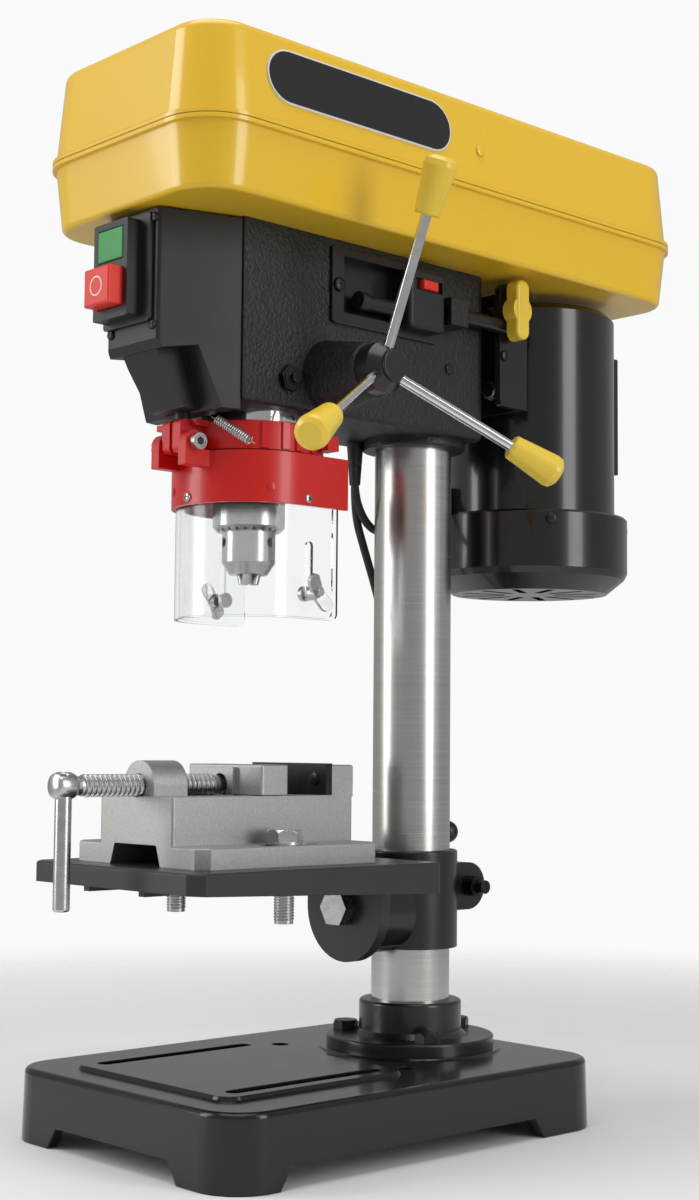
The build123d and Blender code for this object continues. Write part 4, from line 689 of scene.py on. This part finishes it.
def vise_screw():
    """Replaces the plain screw: a core, a coarse rounded thread and the eye that holds the bar."""
    lo, hi = span("vise_screw")
    centre = middle("vise_screw")
    bar = middle("vise_handle_bar")
    r = 6.0
    mesh = bmesh.new()
    back = aim(centre.x, hi.y, centre.z, (0, -1, 0))
    length = hi.y - (bar.y + 7.0)
    lathe(mesh, [(r - 1.5, 0.0), (r - 1.1, 0.6), (r - 1.1, length + 1.0)], back, 36)
    helix_ridge(mesh, aim(centre.x, hi.y - 9.0, centre.z, (0, -1, 0)), r - 1.1, 1.05, 3.0, length - 11.0)
    piece("vise_screw_thread", mesh, ZINC, "vise_turn")
    eye = bmesh.new()
    front = aim(centre.x, lo.y, centre.z, (0, 1, 0))
    lathe(eye, [(4.6, 0.0), (6.2, 0.9), (6.9, 2.6), (6.9, 10.4), (6.2, 12.0), (5.2, 13.0)], front, 36)
    obj = piece("vise_screw_eye", eye, ZINC, "vise_turn")
    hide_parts("vise_screw")


def bolt_threads():
    lo = span("vise_bolts")[0]
    mesh = bmesh.new()
    for x in (-46.0, 46.0):
        helix_ridge(mesh, aim(x, -139.0, lo.z + 1.0, (0, 0, 1)), 4.9, 0.55, 1.5, 15.0, 16)
    piece("vise_bolt_threads", mesh, ZINC, "table")


def shield_threads():
    """The wing nuts' bolts, threaded where they stand out."""
    lo, hi = span("shield_bolts")
    mesh = bmesh.new()
    for x, out in ((lo.x, 1), (hi.x, -1)):
        helix_ridge(mesh, aim(x, -117.0, 296.0, (out, 0, 0)), 1.95, 0.25, 0.8, 2.0, 12)
    piece("shield_bolt_threads", mesh, ZINC, "guard")


vise_screw()
bolt_threads()
shield_threads()
print("threads cut")

# %% [markdown]
# ## The guard's spring
#
# A steel extension spring from the collar to the moving skirt.

# %% Guard spring


def guard_spring():
    start = spot(*SPRING_TOP)
    end = spot(*SPRING_LOW)
    along = (end - start).normalized()
    side = along.orthogonal().normalized()
    other = along.cross(side)
    length = (end - start).length
    coil_r = 2.5 * MM
    lead = 4.0 * MM
    turns = 16
    steps = 14
    points = [start, start + along * lead * 0.6]
    for i in range(turns * steps + 1):
        a = 2 * math.pi * i / steps
        z = lead + (length - 2 * lead) * i / (turns * steps)
        points.append(start + along * z + side * coil_r * math.cos(a) + other * coil_r * math.sin(a))
    points += [end - along * lead * 0.6, end]
    mesh = bmesh.new()
    sweep(mesh, points, 0.45 * MM, 8)
    obj = piece("extension_spring", mesh, ZINC, None)
    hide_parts("guard_spring")
    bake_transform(obj)


SPRING_TOP = (16.5, -168.5, 389.0)
SPRING_LOW = (42.0, -159.5, 372.5)
guard_spring()
print("spring wound")

# %% [markdown]
# ## Switch: the ring on the stop button

# %% Stop ring


def ring_mark(name, place, outer, inner, material, body, steps=32):
    """A flat ring, a hair proud of the button."""
    mesh = bmesh.new()
    edges = []
    for r in (outer, inner):
        for z in (-0.1, 0.06):
            edges.append([mesh.verts.new(place @ Vector((r * math.cos(2 * math.pi * i / steps),
                                                         r * math.sin(2 * math.pi * i / steps), z)))
                          for i in range(steps)])
    loops = [edges[0], edges[1], edges[3], edges[2], edges[0]]
    for one, two in zip(loops, loops[1:]):
        for i in range(steps):
            j = (i + 1) % steps
            mesh.faces.new((one[i], one[j], two[j], two[i]))
    piece(name, mesh, material, body)


stop_front = span("stop_button")[0].y
stop_mid = middle("stop_button")
stop_place = aim(stop_mid.x, stop_front, stop_mid.z, (0, -1, 0))
ring_mark("stop_mark", stop_place, 5.4, 4.5, MARK, "stop")
print("marks set")

# %% [markdown]
# ## Cords
#
# The mains lead leaves the head's underside behind the column, drops to the bench, and its spare length
# is wound behind the base. The motor lead sags in one loop from the head to the motor's gland.

# %% Cords
CORD_R = 2.5
COIL_X = -27.0
COIL_Y = 115.0
COIL_RADII = (33.0, 28.0, 23.0)
MAINS_ROUTE = [(-30, -20, 372), (-30, -20, 354), (-33, -9, 334), (-38, 7, 308), (-44, 25, 270),
               (-50, 40, 222), (-54, 51, 165), (-57, 60, 108), (-59.5, 69, 62), (-60.5, 79, 31),
               (-60.4, 95, 8.5), (-60, 112, 2.9)]
LEAD_ROUTE = [(-22, -28, 382), (-22, -28, 366), (-23, -20, 351), (-27.5, -5, 344), (-32, 11, 348),
              (-33, 27, 361), (-32, 46, 370)]
TAIL_ROUTE = [(-36, 92, 15.5), (-46, 90.5, 17.8), (-56, 90, 17.6), (-66, 91, 14.2), (-75, 96, 10),
              (-81, 106, 7.4), (-82, 119, 7)]


def curve(name, points, radius, material):
    data = bpy.data.curves.new(name, "CURVE")
    data.dimensions = "3D"
    data.bevel_depth = radius * MM
    data.bevel_resolution = 4
    data.use_fill_caps = True
    data.resolution_u = 8
    line = data.splines.new("NURBS")
    line.points.add(len(points) - 1)
    for slot_point, point in zip(line.points, points):
        slot_point.co = (*spot(*point), 1.0)
    line.order_u = 3
    line.use_endpoint_u = True
    obj = bpy.data.objects.new(name, data)
    bpy.context.scene.collection.objects.link(obj)
    data.materials.append(material)
    return obj


def coil_points():
    """Clockwise turns from the ring's left side: up the outer wall, down the middle one, up the inner."""
    points = []
    across = 2 * CORD_R
    for i in range(1, int(COIL_TURNS * COIL_STEPS) + 1):
        t = i / COIL_STEPS
        if t < 2.3:
            radius = COIL_RADII[0] - across * max(0.0, t - 2.0) / 0.3
            height = across * min(t, 2.0)
        elif t < 4.6:
            radius = COIL_RADII[1] - across * max(0.0, t - 4.3) / 0.3
            height = across * max(0.0, 4.3 - t)
        else:
            radius = COIL_RADII[2]
            height = across * min(t - 4.6, 2.0)
        a = math.radians(180.0 - 360.0 * t)
        points.append((COIL_X + radius * math.cos(a), COIL_Y + radius * math.sin(a), CORD_R + 0.05 + height))
    return points


COIL_TURNS = 6.7
COIL_STEPS = 24
mains_route = MAINS_ROUTE + [(-60.0, 115.0, CORD_R + 0.05)] + coil_points() + TAIL_ROUTE
mains = curve("mains_flex", mains_route, CORD_R, RUBBER)
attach(mains, "base")
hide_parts("mains_cord", "mains_coil", "mains_tail")
lead = curve("motor_flex", LEAD_ROUTE, CORD_R, RUBBER)
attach(lead, "base")
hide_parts("motor_lead")
print("cords laid")

# %% [markdown]
# ## Studio and camera
#
# A pale floor that fades into an even white sky, with three soft lamps: a tall one each side, which draw the
# long bright lines on the column, and one overhead. The camera stands low at the front right.

# %% Floor and light


def floor():
    mesh = bmesh.new()
    prism(mesh, ngon(2 * FLOOR_R, 96), -8.0, 0.0, aim(0, 0, -0.4, (0, 0, 1)))
    w = Wires("floor_white")
    w.set(Base_Color=w.ramp(w.noise(1.5, 2.0), [(0.3, (0.90, 0.90, 0.90)), (0.7, (0.93, 0.93, 0.93))]))
    w.set(Roughness=0.7)
    place = w.place()
    flat = [w.sums("POWER", w.part(place, axis), 2.0) for axis in ("X", "Y")]
    distance = w.sums("SQRT", w.sums("ADD", flat[0], flat[1]), 0.0)
    clear = w.add("ShaderNodeBsdfTransparent")
    mix = w.add("ShaderNodeMixShader")
    w.link(w.scaled(distance, 0.0, 1.0, FADE_FROM, FADE_TO), mix.inputs["Fac"])
    w.link(w.shader.outputs["BSDF"], mix.inputs[1])
    w.link(clear.outputs["BSDF"], mix.inputs[2])
    w.link(mix.outputs["Shader"], w.tree.nodes["Material Output"].inputs["Surface"])
    obj = piece("studio_floor", mesh, w.material, None)


def sky():
    """Even and dim as a light, so that the black paint stays black, and white as a backdrop."""
    world = bpy.data.worlds.new("studio_sky")
    world.use_nodes = True
    tree = world.node_tree
    light = tree.nodes["Background"]
    light.inputs["Color"].default_value = (1.0, 1.0, 1.0, 1.0)
    light.inputs["Strength"].default_value = SKY_LIGHT
    backdrop = tree.nodes.new("ShaderNodeBackground")
    backdrop.inputs["Strength"].default_value = 1.0
    backdrop.inputs["Color"].default_value = (0.95, 0.95, 0.95, 1.0)
    ray = tree.nodes.new("ShaderNodeLightPath")
    mix = tree.nodes.new("ShaderNodeMixShader")
    seen = tree.nodes.new("ShaderNodeMath")
    seen.operation = "MAXIMUM"
    tree.links.new(ray.outputs["Is Camera Ray"], seen.inputs[0])
    tree.links.new(ray.outputs["Is Transmission Ray"], seen.inputs[1])
    tree.links.new(seen.outputs["Value"], mix.inputs["Fac"])
    tree.links.new(light.outputs["Background"], mix.inputs[1])
    tree.links.new(backdrop.outputs["Background"], mix.inputs[2])
    tree.links.new(mix.outputs["Shader"], tree.nodes["World Output"].inputs["Surface"])
    bpy.context.scene.world = world


def lamp(name, place, target, width, height, power):
    data = bpy.data.lights.new(name, "AREA")
    data.shape = "RECTANGLE"
    data.size = width
    data.size_y = height
    data.energy = power
    obj = bpy.data.objects.new(name, data)
    obj.location = place
    obj.rotation_euler = (Vector(target) - Vector(place)).to_track_quat("-Z", "Y").to_euler()
    bpy.context.scene.collection.objects.link(obj)


FLOOR_R = 1500.0
FADE_FROM = 0.35
FADE_TO = 1.0
SKY_LIGHT = 0.38
floor()
sky()
lamp("left_lamp", (-0.9, -1.3, 0.75), (0.0, 0.0, 0.30), 0.6, 1.4, 11.0)
lamp("right_lamp", (1.5, 0.3, 0.7), (0.0, 0.0, 0.35), 0.5, 1.3, 9.0)
lamp("top_lamp", (0.1, -0.3, 1.7), (0.0, 0.0, 0.3), 1.3, 1.3, 12.0)
print("studio lit")

# %% Camera


def camera():
    heading, pitch, roll = (math.radians(v) for v in (CAMERA_HEADING, CAMERA_PITCH, CAMERA_ROLL))
    level = math.cos(pitch)
    forward = Vector((-math.sin(heading) * level, math.cos(heading) * level, math.sin(pitch)))
    right = forward.cross(Vector((0, 0, 1))).normalized()
    up = right.cross(forward)
    turned_right = right * math.cos(roll) + up * math.sin(roll)
    turned_up = turned_right.cross(forward)
    data = bpy.data.cameras.new("bench_camera")
    data.lens = CAMERA_LENS
    data.sensor_width = 36.0
    obj = bpy.data.objects.new("bench_camera", data)
    matrix = Matrix((turned_right, turned_up, -forward)).transposed().to_4x4()
    matrix.translation = spot(*CAMERA_PLACE)
    obj.matrix_world = matrix
    bpy.context.scene.collection.objects.link(obj)
    bpy.context.scene.camera = obj


CAMERA_PLACE = (785.48, -779.79, 212.83)
CAMERA_HEADING = 47.16
CAMERA_PITCH = 4.57
CAMERA_ROLL = 0.49
CAMERA_LENS = 55.52
camera()
bpy.context.scene.view_settings.view_transform = "Standard"
print("camera at", [round(v, 3) for v in spot(*CAMERA_PLACE)])
